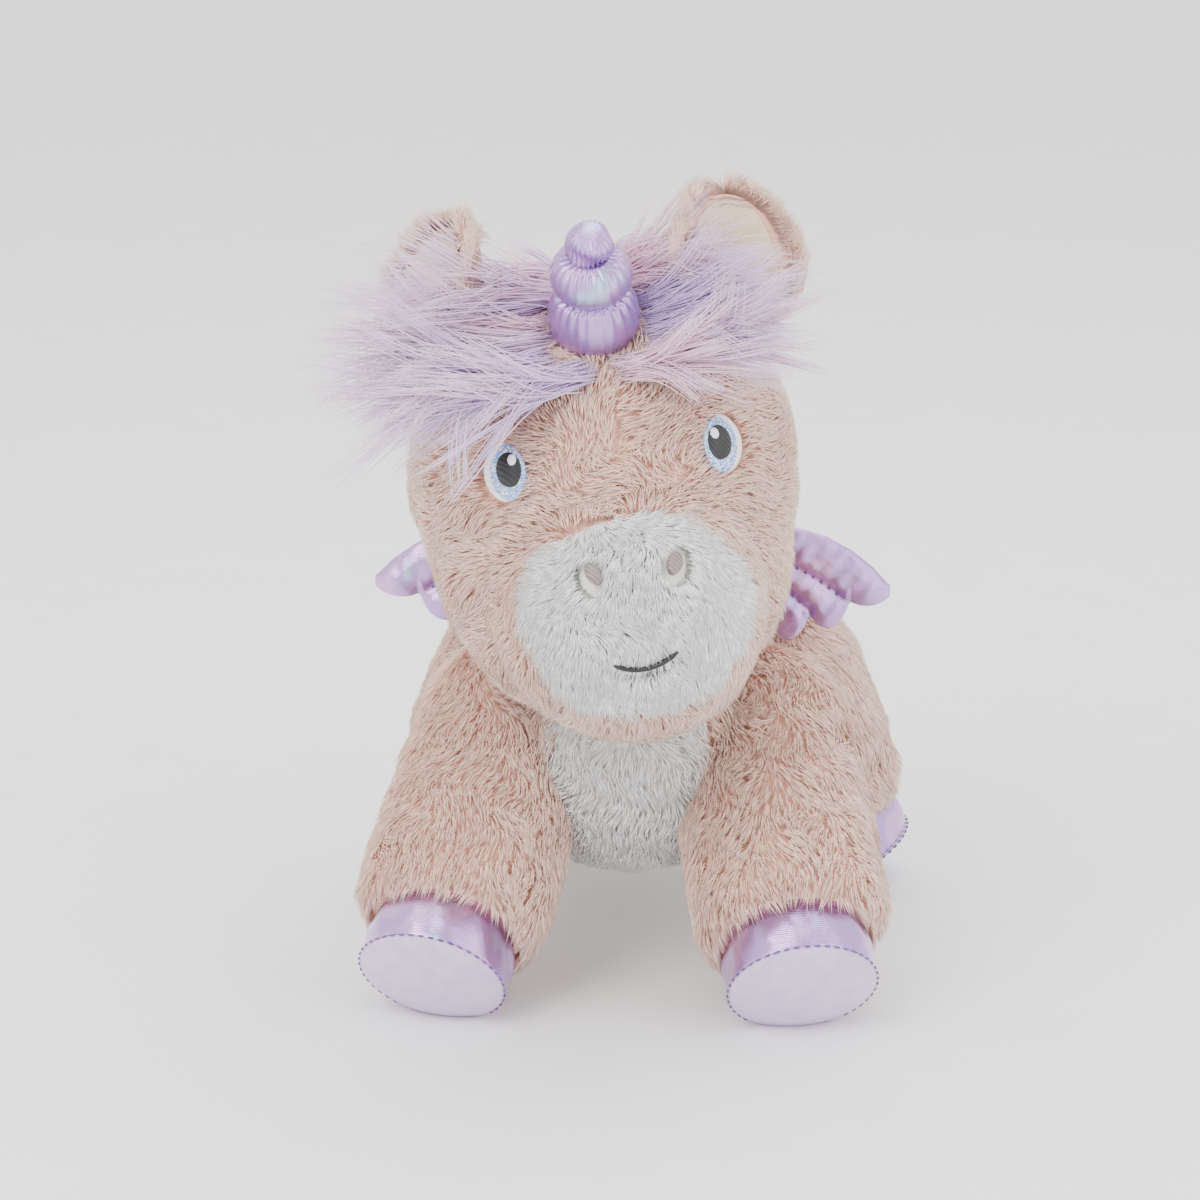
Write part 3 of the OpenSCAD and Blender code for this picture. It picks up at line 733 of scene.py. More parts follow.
def build_face():
    """Embroidery: each eye is a white patch, a blue iris, a black pupil and a highlight, one layer over
    another."""
    for side, s in SIDES.items():
        axes = eye_axes(side)
        inner = -s                          # toward the nose
        layers = (
            ("white", oval(10.2, 12.8, 0.12 * inner, 0.12), (-0.6 * inner, 0.0), 3.0, "eye_white_thread"),
            ("iris", oval(8.6, 12.0, 0.1 * inner, 0.10), (1.7 * inner, 0.0), 3.9, "eye_blue_thread"),
            ("pupil", oval(6.2, 7.8, 0.05 * inner), (2.6 * inner, 0.9), 4.6, "black_thread"),
            ("highlight", oval(2.0, 2.6), (4.6 * inner, 5.2), 5.2, "eye_white_thread"),
        )
        for part, outline, middle, height, slot_name in layers:
            lift = (height, height + 1.3)
            patch = patch_on_ball(SKULL, SKULL_R, axes, np.array(middle), outline, lift)
            grid, first, last = (from_head(p) for p in patch)
            obj = closed_grid(f"eye_{side}_{part}_looks", grid, first, last, MATERIALS[slot_name], flip=True)
            settle(obj, "head", [f"eye_{side}_{part}"])
    for side, s in SIDES.items():
        out = unit(np.array([s * 16.5, -48.0, 27.0]))
        across = unit(np.cross([0.0, 0, 1], out))
        axes = (out, across, np.cross(out, across))
        outline = oval(3.0, 5.0, -0.5 * s)
        patch = patch_on_ball(MUZZLE, MUZZLE_R, axes, np.zeros(2), outline, (5.4, 6.6), 8, 40)
        grid, first, last = (from_head(p) for p in patch)
        obj = closed_grid(f"nostril_{side}", grid, first, last, MATERIALS["nostril_thread"], flip=True)
        settle(obj, "head", ["nostrils"] if side == "left" else [])
    # the mouth: a tube that follows a shallow curve over the muzzle
    t = np.linspace(-1, 1, 40)
    x, z = 13.5 * t, -12.5 + 4.0 * t**2 + 1.2 * t
    direction = unit(np.stack([x, -np.sqrt(MUZZLE_R**2 - x**2 - z**2), z], 1))
    spine = MUZZLE + direction * (MUZZLE_R + 4.2)
    along = unit(np.gradient(spine, axis=0))
    b = unit(np.cross(along, direction))
    angle = np.arange(12) / 12 * 2 * math.pi
    thick = 1.15 * np.sqrt(np.clip(1 - t**6, 0.06, 1))
    grid = spine[:, None] + thick[:, None, None] * (
        np.cos(angle)[None, :, None] * direction[:, None] * 1.3 + np.sin(angle)[None, :, None] * b[:, None]
    )
    first, last = from_head(spine[0]), from_head(spine[-1])
    obj = closed_grid("mouth", from_head(grid), first, last, MATERIALS["black_thread"])
    settle(obj, "head", ["mouth_stitch"])


# ---- torso ----


def build_torso():
    """Torso: one stuffed skin, pink on its two sides and white on the chest and under the belly."""
    look = bpy.context.scene.unicorn_fur

    def is_white(p):
        low = (np.abs(p[:, 0]) < 29) & (p[:, 2] < -14)
        return low | (p[:, 1] < -9) & (np.abs(p[:, 0]) < 34)

    # The skin takes the root colours: painted shade where it shows between the strands.
    skin = star_object(
        "torso_skin", TORSO_CENTRE, TORSO_BALLS, TORSO_POWER, 130, 180, lambda p: p + CHEST,
        lambda p: np.where(is_white(p)[:, None], WHITE_ROOT_SHADED, PINK_ROOT_SHADED),
    )
    settle(skin, "torso", ["torso_side_left", "torso_side_right", "belly_panel"])
    hidden = [(CHEEK - CHEST, CHEEK_R)]
    for leg in LEGS:
        hidden.append((PIVOT[f"leg_{leg}_swing"] - CHEST, LEG[leg.split("_")[0]]["ball"]))
    regions = {
        "torso_fur_left": (look.torso_count, lambda p: (p[:, 0] < 0) & ~is_white(p)),
        "torso_fur_right": (look.torso_count, lambda p: (p[:, 0] >= 0) & ~is_white(p)),
        "belly_fur": (look.belly_count, is_white),
    }
    for k, (name, (count, region)) in enumerate(regions.items()):

        def keep(p, region=region):
            return region(p) & ~inside(p, hidden, BURIED)

        roots, normals = scatter(TORSO_CENTRE, TORSO_BALLS, TORSO_POWER, count, 51 + k, keep)
        comb = np.tile([0.0, 0.45, -0.75], (len(roots), 1))
        fur(name, roots + CHEST, normals, comb, np.full(len(roots), name == "belly_fur"), 61 + k, "torso")


# ---- legs ----


def leg_frame(leg):
    """Pivot of a leg and the matrix whose rows are its side, front and long axes; the last points to
    the sole."""
    size = LEG[leg.split("_")[0]]
    lean, heading = math.radians(size["lean"]), math.radians(size["heading"])
    s = SIDES[leg.split("_")[1]]
    flat = math.sin(lean)
    down = np.array([s * flat * math.sin(heading), -flat * math.cos(heading), -math.cos(lean)])
    across = unit(np.cross(down, [0.0, 0, 1]))
    return PIVOT[f"leg_{leg}_swing"], np.array([across, np.cross(down, across), down])


def sleeve_radius(size, s):
    """Radius of the sleeve at each distance along the leg: a ball, then a softly bulging tube that
    closes a little on the hoof."""
    cuff = size["length"] - BAND_LEN
    b = size["ball"] - INSET
    hoof = size["hoof"] + 8 - INSET
    stops = [0, 0.5 * cuff, cuff - 24, cuff - 12, cuff - 5, cuff]
    radii = [b, 0.5 * (b + hoof) + 1.2, hoof + 0.6, hoof, hoof - 2.2, hoof - 7]
    tube = np.interp(s, stops, radii)
    return np.where(s < 0, np.sqrt(np.maximum(b**2 - s**2, 0.01)), tube)


def smooth_profile(f, s, spread=4.0):
    """Mean of a function over a short run to each side, which rounds off its corners."""
    shifts = np.linspace(-spread, spread, 9)
    return np.mean([f(s + d) for d in shifts], axis=0)


def build_legs():
    """Legs: a stuffed sleeve turned round each leg's axis, its pile, and the hoof at its end."""
    look = bpy.context.scene.unicorn_fur
    chest_rump = [(CHEST + c, r) for c, r in TORSO_BALLS]
    for k, leg in enumerate(LEGS):
        size = LEG[leg.split("_")[0]]
        pivot, axes = leg_frame(leg)
        body = f"leg_{leg}"
        cuff, length, hoof = size["length"] - BAND_LEN, size["length"], size["hoof"]
        b = size["ball"] - INSET

        def radius(s, size=size):
            return smooth_profile(lambda x: sleeve_radius(size, x), s)

        def wrinkle(r, z, angle):
            """Soft folds where the hoof is sewn on."""
            near = np.exp(-(((z - cuff + 12) / 14) ** 2))
            return r * (1 + 0.012 * near * np.sin(7 * angle + 1.3)), z

        s = np.concatenate([-b * np.cos(np.linspace(0.12, 1.57, 26)), np.linspace(1, cuff - 0.5, 64)])
        grid = revolve(np.stack([radius(s), s], 1), 96, wrinkle) @ axes + pivot
        # The skin takes the pink root colour: painted shade where it shows between the strands.
        obj = closed_grid(f"{body}_sleeve_skin", grid, pivot - axes[2] * b, pivot + axes[2] * cuff,
                          MATERIALS["pink_fur"], lambda p: np.tile(PINK_ROOT_SHADED, (len(p), 1)))
        settle(obj, body, [f"{body}_sleeve"])
        # pile on the sleeve: places along it are drawn in proportion to the girth
        rng = np.random.default_rng(70 + k)
        along = np.linspace(-b + 2, cuff - 1, 800)
        girth = radius(along) * np.sqrt(1 + np.gradient(radius(along), along) ** 2)
        share = np.cumsum(girth) / girth.sum()
        count = int(look.leg_count * 1.9)
        at = np.interp(rng.random(count), share, along)
        turn = rng.uniform(0, 2 * math.pi, count)
        r = radius(at)
        slope = (radius(at + 0.5) - radius(at - 0.5))
        ring = np.stack([np.cos(turn), np.sin(turn)], 1)
        roots = np.column_stack([ring * r[:, None], at]) @ axes + pivot
        normals = unit(np.column_stack([ring, -slope])) @ axes
        hidden = inside(roots, chest_rump, BURIED) | inside(roots, [(CHEEK, CHEEK_R)], 6)
        keep = ~hidden & (roots[:, 2] > 1.0)
        roots, normals = roots[keep][: look.leg_count], normals[keep][: look.leg_count]
        comb = axes[2] * 0.9 + np.array([0, 0, -0.35])
        comb = np.tile(comb, (len(roots), 1))
        fur(f"{body}_fur", roots, normals, comb, np.zeros(len(roots), bool), 80 + k, body)
        build_hoof(leg, body, pivot, axes, cuff, length, hoof)


def build_hoof(leg, body, pivot, axes, cuff, length, hoof):
    """Foil band, domed sole flattened on the floor, and the stitches of the seam between them."""
    k = LEGS.index(leg)

    def crumple(r, z, angle):
        """Shallow folds round the band, each leg with its own."""
        fold = 0.55 * np.sin(5 * angle + 0.7 * k) + 0.35 * np.sin(13 * angle + z * 0.2)
        return r + fold * np.sin(np.clip((z - cuff) / BAND_LEN, 0, 1) * math.pi), z

    z = np.linspace(cuff - 10, length, 30)
    t = (z - cuff) / BAND_LEN
    outer = hoof - 2.2 + 1.7 * t + 1.9 * np.sin(np.clip(t, 0, 1) * math.pi)
    outer[-1] -= 0.9
    start, end = [[hoof - 9, cuff - 10.5]], [[hoof - 3, length + 0.2], [hoof - 12, length - 4]]
    profile = np.concatenate([start, np.stack([outer, z], 1), end])
    grid = revolve(profile, 120, crumple) @ axes + pivot
    grid[..., 2] = np.maximum(grid[..., 2], 0.0)
    first, last = pivot + axes[2] * (cuff - 10.5), pivot + axes[2] * (length - 6)
    obj = closed_grid(f"{body}_band_looks", grid, first, last, MATERIALS["foil_fabric"])
    settle(obj, body, [f"{body}_band"])
    q = np.linspace(1, 0.04, 26)
    dome = np.stack([hoof * q, length + SOLE_DOME * (1 - q**2.2)], 1)
    profile = np.concatenate([[[hoof - 8, length - 3.0], [hoof - 1.0, length - 1.2]], dome])
    grid = revolve(profile, 96) @ axes + pivot
    grid[..., 2] = np.maximum(grid[..., 2], 0.0)
    tip = pivot + axes[2] * (length + SOLE_DOME)
    tip[2] = max(tip[2], 0.0)
    first = pivot + axes[2] * (length - 3)
    obj = closed_grid(f"{body}_sole_looks", grid, first, tip, MATERIALS["sole_fabric"])
    settle(obj, body, [f"{body}_sole"])
    count = 46
    angle = np.arange(count) / count * 2 * math.pi
    half = 0.30 * 2 * math.pi / count

    def seam(a):
        r = hoof + 0.45
        return np.stack([r * np.cos(a), r * np.sin(a), np.full(len(a), length - 0.2)], 1) @ axes + pivot

    starts, ends = seam(angle - half), seam(angle + half)
    high = np.minimum(starts[:, 2], ends[:, 2]) > 1.0
    points, faces = bars(starts[high], ends[high], 0.5)
    obj = mesh_object(f"{body}_seam", points, faces, MATERIALS["thread"])
    settle(obj, body, [f"{body}_stitches"])


# ---- ears ----


def build_ears():
    """Ears: a cupped leaf of pile fabric with a smaller one of velvet laid in its hollow."""
    look = bpy.context.scene.unicorn_fur
    for side, s in SIDES.items():
        body = f"ear_{side}"
        turn = spin("y", math.radians(EAR_OUT[side])) @ spin("z", math.radians(EAR_TURN[side]))
        mirror = np.diag([s, 1.0, 1.0])
        root = SKULL + np.array(EAR_PLACE) * [s, 1, 1]

        def place(p, turn=turn, mirror=mirror, root=root):
            return from_head(p @ turn.T @ mirror + root)

        def half_width(v):
            """Half of the ear's width at each part of its height: narrow root, round tip."""
            return EAR_W / 2 * np.clip(np.sin(math.pi * np.clip(0.16 + 0.80 * v, 0, 1)), 0, 1) ** 0.62

        def leaf(u, v, radius, narrow=1.0, short=0.0):
            """Point of the cupped leaf: u from -1 to 1 across, v from 0 to 1 up."""
            v = short + v * (1 - 2 * short)
            angle = u * half_width(v) * narrow / EAR_R
            curl = 1 - 0.10 * v
            height = -6 + (EAR_LEN + 4) * v - 3.0 * u**2 * v
            return np.stack([radius * np.sin(angle), radius * np.cos(angle) * curl - EAR_R + 4, height], -1)

        def shell(outer, inner, rows, cols, narrow, short):
            v = np.linspace(0.015, 0.985, rows)[:, None] + 0 * np.arange(cols)
            around = np.arange(cols) / cols * 2 * math.pi
            u = np.cos(around)[None] + 0 * v
            lift = np.sin(around)[None]
            edge = np.sqrt(np.clip(np.sin(v * math.pi), 0.02, 1))
            radius = (outer + inner) / 2 + (outer - inner) / 2 * lift * edge
            return leaf(u, v, radius, narrow, short)

        grid = shell(EAR_R + 4.2, EAR_R, 48, 64, 1.0, 0.0)
        flip = s < 0
        # The skin takes the pink root colour: painted shade where it shows between the strands.
        obj = closed_grid(f"{body}_skin", place(grid), place(grid[0].mean(0)), place(grid[-1].mean(0)),
                          MATERIALS["pink_fur"], lambda p: np.tile(PINK_ROOT_SHADED, (len(p), 1)), not flip)
        settle(obj, body, [f"{body}_cover"])
        grid = shell(EAR_R + 0.4, EAR_R - 2.0, 48, 64, 0.80, 0.04)
        fold = 2.2 * np.exp(-(((grid[..., 0] - 2) / 5.0) ** 2)) * np.clip(1 - grid[..., 2] / EAR_LEN, 0, 1)
        grid[..., 1] -= fold
        obj = closed_grid(f"{body}_velvet", place(grid), place(grid[0].mean(0)), place(grid[-1].mean(0)),
                          MATERIALS["velvet"], flip=not flip)
        settle(obj, body, [f"{body}_lining"])
        # pile on the back of the ear and over its rim
        rng = np.random.default_rng(90 + int(s))
        count = look.ear_count
        v = rng.uniform(0.03, 1.0, count)
        u = rng.uniform(-1, 1, count)
        around = rng.random(count)
        rim = around < 0.26
        u = np.where(rim, np.sign(u) * rng.uniform(0.86, 1.0, count), u)
        top = rng.random(count) < 0.10
        v = np.where(top, rng.uniform(0.93, 1.0, count), v)
        back = EAR_R + 4.2 * np.sqrt(1 - np.minimum(u**2, 0.95))
        radius = np.where(rim, EAR_R + rng.uniform(0.0, 3.5, count), back)
        p = leaf(u, v, radius)
        du = leaf(u + 0.01, v, radius) - leaf(u - 0.01, v, radius)
        dv = leaf(u, v + 0.01, radius) - leaf(u, v - 0.01, radius)
        n = unit(np.cross(dv, du))
        n = n * np.sign(n[:, 1:2] + 1e-9)
        out = unit(du) * np.sign(u)[:, None]
        n = np.where(rim[:, None], n * 0.35 + out, n + out * (np.abs(u) ** 4)[:, None])
        n = unit(n + top[:, None] * [0, 0, 1.0])
        comb = np.array([0.0, 0.1, 0.8]) + out * 0.25
        linear = HEAD_SPIN @ mirror @ turn
        fur(f"{body}_fur", place(p), n @ linear.T, comb @ linear.T, np.zeros(count, bool), 95 + int(s), body)


# ---- wings ----


def wing_edges(x):
    """Heights of the wing's upper edge and of its lower edge, which has three rounded feather tips."""
    top = np.interp(x, [-11, -6, 8, 20, 33, 48, 61, 74, 84, 92], [1, 9, 19, 25.5, 29, 28, 24, 17, 9, 0])
    base = np.interp(x, [-11, 0, 12, 30, 92], [-3, -7.5, -3, -5, -2])
    lobes = np.zeros_like(x)
    for middle, low, half in ((43, -28, 11.5), (62, -22.5, 11), (81.5, -12, 11.5)):
        across = np.clip(1 - ((x - middle) / half) ** 2, 0, 1)
        lobes = np.minimum(lobes, (low + 4) * np.sqrt(across))
    return top, base + lobes


def build_wings():
    """Wings: a pillow between two edges, sunk along the sewn lines, with the stitches of those lines."""
    for side, s in SIDES.items():
        body = f"wing_{side}"
        pivot = PIVOT[f"wing_{side}_flap"]
        rows, half_cols = 150, 40
        spread = 1.12 if side == "left" else 1.0
        x = np.linspace(-10.6, 92.2, rows)
        top, low = wing_edges(x)
        for _ in range(2):
            low = np.convolve(np.pad(low, 1, "edge"), [0.25, 0.5, 0.25], "valid")
            top = np.convolve(np.pad(top, 1, "edge"), [0.25, 0.5, 0.25], "valid")
        seams = [
            ((-2, 8), (24, 17), (52.5, -13)),
            ((2, 12), (38, 22), (71.5, -9)),
            ((-6, 0), (12, 6), (31, -6)),
        ]

        def seam_distance(px, pz):
            """Distance from each point to the nearest of the curved lines sewn between the feathers."""
            best = np.full(px.shape, 1e9)
            for a, b, c in seams:
                for t in np.linspace(0, 1, 60):
                    qx = (1 - t) ** 2 * a[0] + 2 * t * (1 - t) * b[0] + t * t * c[0]
                    qz = (1 - t) ** 2 * a[1] + 2 * t * (1 - t) * b[1] + t * t * c[1]
                    best = np.minimum(best, np.hypot(px - qx, pz - qz))
            return best

        v = 0.5 - 0.5 * np.cos(np.linspace(0, math.pi, half_cols + 1))
        z = low[:, None] + (top - low)[:, None] * v[None]
        px = x[:, None] + 0 * z
        across = np.minimum(z - low[:, None], top[:, None] - z)
        edge = np.minimum(across, np.minimum(px - x[0], x[-1] - px) + 0.2)
        puff = np.sqrt(np.clip(edge / 9, 0, 1)) * (1 - 0.72 * np.exp(-((seam_distance(px, z) / 3.0) ** 2)))
        wave = 0.5 * waves(np.stack([px, 0 * px, z], -1).reshape(-1, 3), 9, 5).reshape(px.shape)
        depth = (WING_T / 2 - 0.2) * puff + wave * puff
        front = np.stack([px, -depth, z], -1)
        back = np.stack([px, depth, z], -1)[:, ::-1][:, 1:-1]
        grid = np.concatenate([front, back], 1)
        grid[..., 0] *= s * spread
        grid += pivot
        first, last = grid[0].mean(0), grid[-1].mean(0)
        obj = closed_grid(f"{body}_looks", grid, first, last, MATERIALS["foil_fabric"], flip=s > 0)
        settle(obj, body, [f"{body}_front", f"{body}_back", f"{body}_padding"])
        starts, ends = [], []
        for a, b, c in seams:
            t = np.linspace(0.06, 0.97, 33)
            line = np.stack([(1 - t) ** 2 * a[i] + 2 * t * (1 - t) * b[i] + t * t * c[i] for i in (0, 1)], 1)
            for face in (-1, 1):
                path = np.stack([line[:, 0], np.full(len(t), face * 2.05), line[:, 1]], 1)
                path = path[path[:, 0] > -8]
                begin = path[:-1:2]
                starts.append(begin)
                ends.append(begin + (path[1::2][: len(begin)] - begin) * 0.85)
        starts, ends = np.concatenate(starts), np.concatenate(ends)
        for p in (starts, ends):
            p[:, 0] *= s * spread
            p += pivot
        points, faces = bars(starts, ends, 0.38)
        obj = mesh_object(f"{body}_stitches", points, faces, MATERIALS["thread"])
        settle(obj, body, [f"{body}_quilting"])


# ---- horn ----


def build_horn():
    """Three stuffed tiers of foil drawn in by gathering threads, pleated where they are drawn in."""
    place = spin("x", HORN_LEAN)

    def from_horn(p):
        return from_head(p @ place.T + SKULL + place @ np.array([0, 0, SKULL_R]))

    z = np.concatenate([np.linspace(-8, 21, 46), np.linspace(21.4, 41, 34), np.linspace(41.4, 55.6, 26)])
    stops = [(-8, 21, 15.0, 20.6), (21, 41, 12.0, 18.3), (41, 56.5, 7.4, 11.8)]
    radius, pleat = np.zeros_like(z), np.zeros_like(z)
    for low, high, neck, full in stops:
        t = np.clip((z - low) / (high - low), 0, 1)
        here = (z >= low) & (z <= high + 0.3)
        bulge = np.sin(t * math.pi) ** 0.62
        if high > 50:
            bulge = np.sin(t * math.pi * 0.5) ** 0.5 * np.sqrt(np.clip(1 - t**3.2, 0, 1))
            neck = 7.4 * (1 - t) + 0.5 * t
        radius = np.where(here, neck + (full - neck) * bulge, radius)
        pleat = np.where(here, 1 - bulge, pleat)

    def gather(r, zz, angle):
        folds = np.sin(24 * angle + 0.6 * np.sin(3 * angle)) * (0.15 + 0.85 * pleat[:, None]) * 0.75
        swirl = np.where(zz > 41, 0.9 * np.sin(angle * 2 + (zz - 41) * 0.42), 0)
        return np.maximum(r + folds * np.clip(r / 8, 0, 1) + swirl * np.clip(r / 8, 0, 1), 0.3), zz

    grid = revolve(np.stack([radius, z], 1), 192, gather)
    first, last = (from_horn(np.array([0, 0, height])) for height in (-8.5, 56.2))
    obj = closed_grid("horn_looks", from_horn(grid), first, last, MATERIALS["foil_fabric"])
    settle(obj, "head", ["horn_cover", "horn_filling"])
    points, faces = [], []
    total = 0
    for height, r in ((21.2, 12.6), (41.2, 8.0)):
        angle = np.arange(48) / 48 * 2 * math.pi
        ring = np.stack([r * np.cos(angle), r * np.sin(angle), height + 0.5 * np.sin(24 * angle)], 1)
        nxt = np.roll(ring, -1, 0)
        p, f = bars(from_horn(ring), from_horn(nxt), 0.55)
        points.append(p)
        faces += [q + total for q in f]
        total += len(p)
    obj = mesh_object("horn_threads", np.concatenate(points), faces, MATERIALS["thread"])
    settle(obj, "head", ["horn_ties"])


# ---- long pile ----


def skull_point(forward, sideways):
    """Places on the skull's pile, by angles forward of upright and sideways of the middle."""
    middle = np.cos(sideways)
    direction = np.stack([np.sin(sideways), -np.sin(forward) * middle, np.cos(forward) * middle], -1)
    return SKULL + direction * (SKULL_R + 1)


def build_forelock():
    """Forelock: pile that parts in front of the horn and sweeps over the brow to both sides."""
    look = bpy.context.scene.unicorn_fur
    for side, s in SIDES.items():
        rng = np.random.default_rng(120 + int(s))
        n = 900
        forward = rng.uniform(0, math.radians(52), n)
        sideways = s * np.abs(rng.normal(0, 0.07, n)) + s * rng.uniform(0.0, 0.10, n)
        near = np.abs(forward - HORN_LEAN) < 0.24
        sideways = np.where(near, s * (0.22 + rng.uniform(0, 0.12, n)), sideways)
        roots = skull_point(forward, sideways)
        reach_out = 1.0 if s < 0 else 0.72
        down = np.clip((forward - 0.1) * 0.45, -0.1, 0.4)
        heading = unit(np.stack([np.full(n, s), -0.25 - 0.25 * forward, 0.12 - 0.55 * down], 1))
        fall = np.stack([np.full(n, 0.08 * s), np.full(n, -0.02), -0.075 + 0.085 * forward], 1)
        length = rng.uniform(88, 122, n) * reach_out
        locks(f"forelock_{side}", from_head(roots), heading @ HEAD_SPIN.T, fall @ HEAD_SPIN.T, length,
                  look.lock_count, 13, LOCK_TINTS, 130 + int(s), "head", skull_push)
    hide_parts("forelock")


def build_mane():
    """Mane: a strip of long pile down the back of the head."""
    look = bpy.context.scene.unicorn_fur
    rng = np.random.default_rng(140)
    n = 700
    forward = rng.uniform(math.radians(-92), math.radians(-14), n)
    sideways = rng.normal(0, 0.09, n)
    roots = skull_point(forward, sideways)
    side = np.sign(sideways)
    heading = unit(np.stack([side * 0.5, np.full(n, 0.6), np.full(n, -0.5)], 1))
    fall = np.stack([0.02 * side, np.full(n, 0.0), np.full(n, -0.16)], 1)
    obj = locks("mane", from_head(roots), heading @ HEAD_SPIN.T, fall @ HEAD_SPIN.T, rng.uniform(48, 74, n),
                int(look.lock_count * 0.9), 13, LOCK_TINTS, 141, "head", skull_push)
    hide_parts("neck_mane")


def build_tail():
    """Tail: a lock of long pile sewn to the rump, hanging down behind it."""
    look = bpy.context.scene.unicorn_fur
    rng = np.random.default_rng(150)
    n = 500
    root = PIVOT["tail_lift"]
    roots = root + unit(rng.normal(size=(n, 3))) * 4.0
    lean = math.radians(15)
    sideways, back = rng.normal(0, 0.22, n), math.sin(lean) + 0.1 + rng.normal(0, 0.1, n)
    heading = unit(np.stack([sideways, back, np.full(n, -0.9)], 1))
    fall = np.stack([0 * roots[:, 0], np.full(n, -0.01), np.full(n, -0.08)], 1)
    obj = locks("tail", roots, heading, fall, rng.uniform(60, 84, n), int(look.lock_count * 0.8), 13,
                LOCK_TINTS, 151, "tail")
    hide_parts("tail_tuft")


# ---- what the frame keeps ----


def build_trim():
    """Finishes for the frame's own nodes that stay in view or inside: fillings, label and closing
    stitches."""
    slots = {"care_label": "label_satin", "closing_stitches": "thread", "neck_pad": "stuffing"}
    for name, node in frame["nodes"].items():
        kind = slots.get(name) or ("stuffing" if "_filling" in name or name.endswith("_padding") else None)
        if kind is None:
            continue
        node.data.materials.clear()
        node.data.materials.append(MATERIALS[kind])


# ---- stage ----


def build_stage():
    """Pale floor, even white light with three soft lamps, and the camera."""
    look = bpy.context.scene.unicorn_stage
    size = 6.0
    corners = np.array([[-size, -size, 0.0], [size, -size, 0], [size, size, 0], [-size, size, 0]]) / MM
    floor = mesh_object("floor", corners, [np.array([[0, 1, 2, 3]])], MATERIALS["floor"], smooth=False)
    world = bpy.data.worlds.new("studio")
    world.use_nodes = True
    world.node_tree.nodes["Background"].inputs["Color"].default_value = (1.0, 1.0, 1.0, 1.0)
    world.node_tree.nodes["Background"].inputs["Strength"].default_value = look.world
    bpy.context.scene.world = world
    target = Vector((look.target_x, -0.0395, look.target_z))
    for name, place, power, size in (
        ("key", (-0.9, -1.5, 1.7), look.key, 1.2),
        ("fill", (1.5, -1.1, 0.9), look.key * 0.35, 1.4),
        ("top", (0.1, 0.6, 1.9), look.key * 0.5, 1.3),
    ):
        lamp = bpy.data.lights.new(name, "AREA")
        lamp.energy, lamp.size = power, size
        obj = bpy.data.objects.new(name, lamp)
        obj.location = place
        obj.rotation_euler = (target - Vector(place)).to_track_quat("-Z", "Y").to_euler()
        bpy.context.scene.collection.objects.link(obj)
    camera = bpy.data.cameras.new("camera")
    camera.lens, camera.sensor_width = look.lens, 36.0
    obj = bpy.data.objects.new("camera", camera)
    azimuth, elevation = math.radians(look.azimuth), math.radians(look.elevation)
    level = math.cos(elevation)
    back = Vector((math.sin(azimuth) * level, -math.cos(azimuth) * level, math.sin(elevation)))
    obj.location = target + back * look.distance
    obj.rotation_euler = (-back).to_track_quat("-Z", "Y").to_euler()
    bpy.context.scene.collection.objects.link(obj)
    bpy.context.scene.camera = obj


# ---- add-on ----


class UNICORN_PG_fur(PropertyGroup):
    length: FloatProperty(name="Pile length", description="Length of the short pile in mm", default=11.0)
    width: FloatProperty(name="Strand width", description="Width of one strand in mm", default=0.62)
    tuft: FloatProperty(name="Tuft size", description="Distance between tufts in mm", default=5.2)
    clump: FloatProperty(name="Clumping", description="How far tips are drawn to their tuft", default=0.42)
    head_count: IntProperty(
        name="Head strands", description="Strands on each side of the head", default=33000
    )
    muzzle_count: IntProperty(name="Muzzle strands", description="Strands on the muzzle", default=17000)
    torso_count: IntProperty(
        name="Torso strands", description="Strands on each side of the torso", default=19000
    )
    belly_count: IntProperty(name="Belly strands", description="Strands on the white panel", default=12000)
    leg_count: IntProperty(name="Leg strands", description="Strands on each leg", default=21000)
    ear_count: IntProperty(name="Ear strands", description="Strands on each ear", default=13000)
    lock_count: IntProperty(name="Locks", description="Locks on each side of the forelock", default=150)


class UNICORN_PG_stage(PropertyGroup):
    azimuth: FloatProperty(name="Azimuth", description="Camera angle round the toy in degrees", default=4.5)
    elevation: FloatProperty(
        name="Elevation", description="Camera angle above the floor in degrees", default=15.0
    )
    distance: FloatProperty(name="Distance", description="Camera distance", default=1.8, unit="LENGTH")
    lens: FloatProperty(name="Lens", description="Focal length in mm", default=115.0)
    target_x: FloatProperty(
        name="Target x", description="Sideways place looked at", default=-0.0154, unit="LENGTH"
    )
    target_z: FloatProperty(name="Target z", description="Height looked at", default=0.1766, unit="LENGTH")
    world: FloatProperty(name="World", description="Strength of the even white light", default=1.7)
    key: FloatProperty(name="Key light", description="Power of the main lamp", default=34.0, subtype="POWER")


class BuildStep:
    """Shared behaviour of the building operators: runs the named function and lets its errors stop the
    script."""

    bl_options = {"REGISTER", "UNDO"}
    build = None

    def execute(self, context):
        type(self).build()
        return {"FINISHED"}


class UNICORN_OT_materials(BuildStep, Operator):
    """Makes all finishes"""

    bl_idname = "unicorn.materials"
    bl_label = "Materials"
    build = staticmethod(make_materials)


class UNICORN_OT_head(BuildStep, Operator):
    """Builds the head's cover and its pile"""

    bl_idname = "unicorn.head"
    bl_label = "Head"
    build = staticmethod(build_head)


class UNICORN_OT_face(BuildStep, Operator):
    """Builds the embroidered eyes, nostrils and mouth"""

    bl_idname = "unicorn.face"
    bl_label = "Face"
    build = staticmethod(build_face)


class UNICORN_OT_torso(BuildStep, Operator):
    """Builds the torso's cover and its pile"""

    bl_idname = "unicorn.torso"
    bl_label = "Torso"
    build = staticmethod(build_torso)


class UNICORN_OT_legs(BuildStep, Operator):
    """Builds the four legs with their hooves"""

    bl_idname = "unicorn.legs"
    bl_label = "Legs"
    build = staticmethod(build_legs)


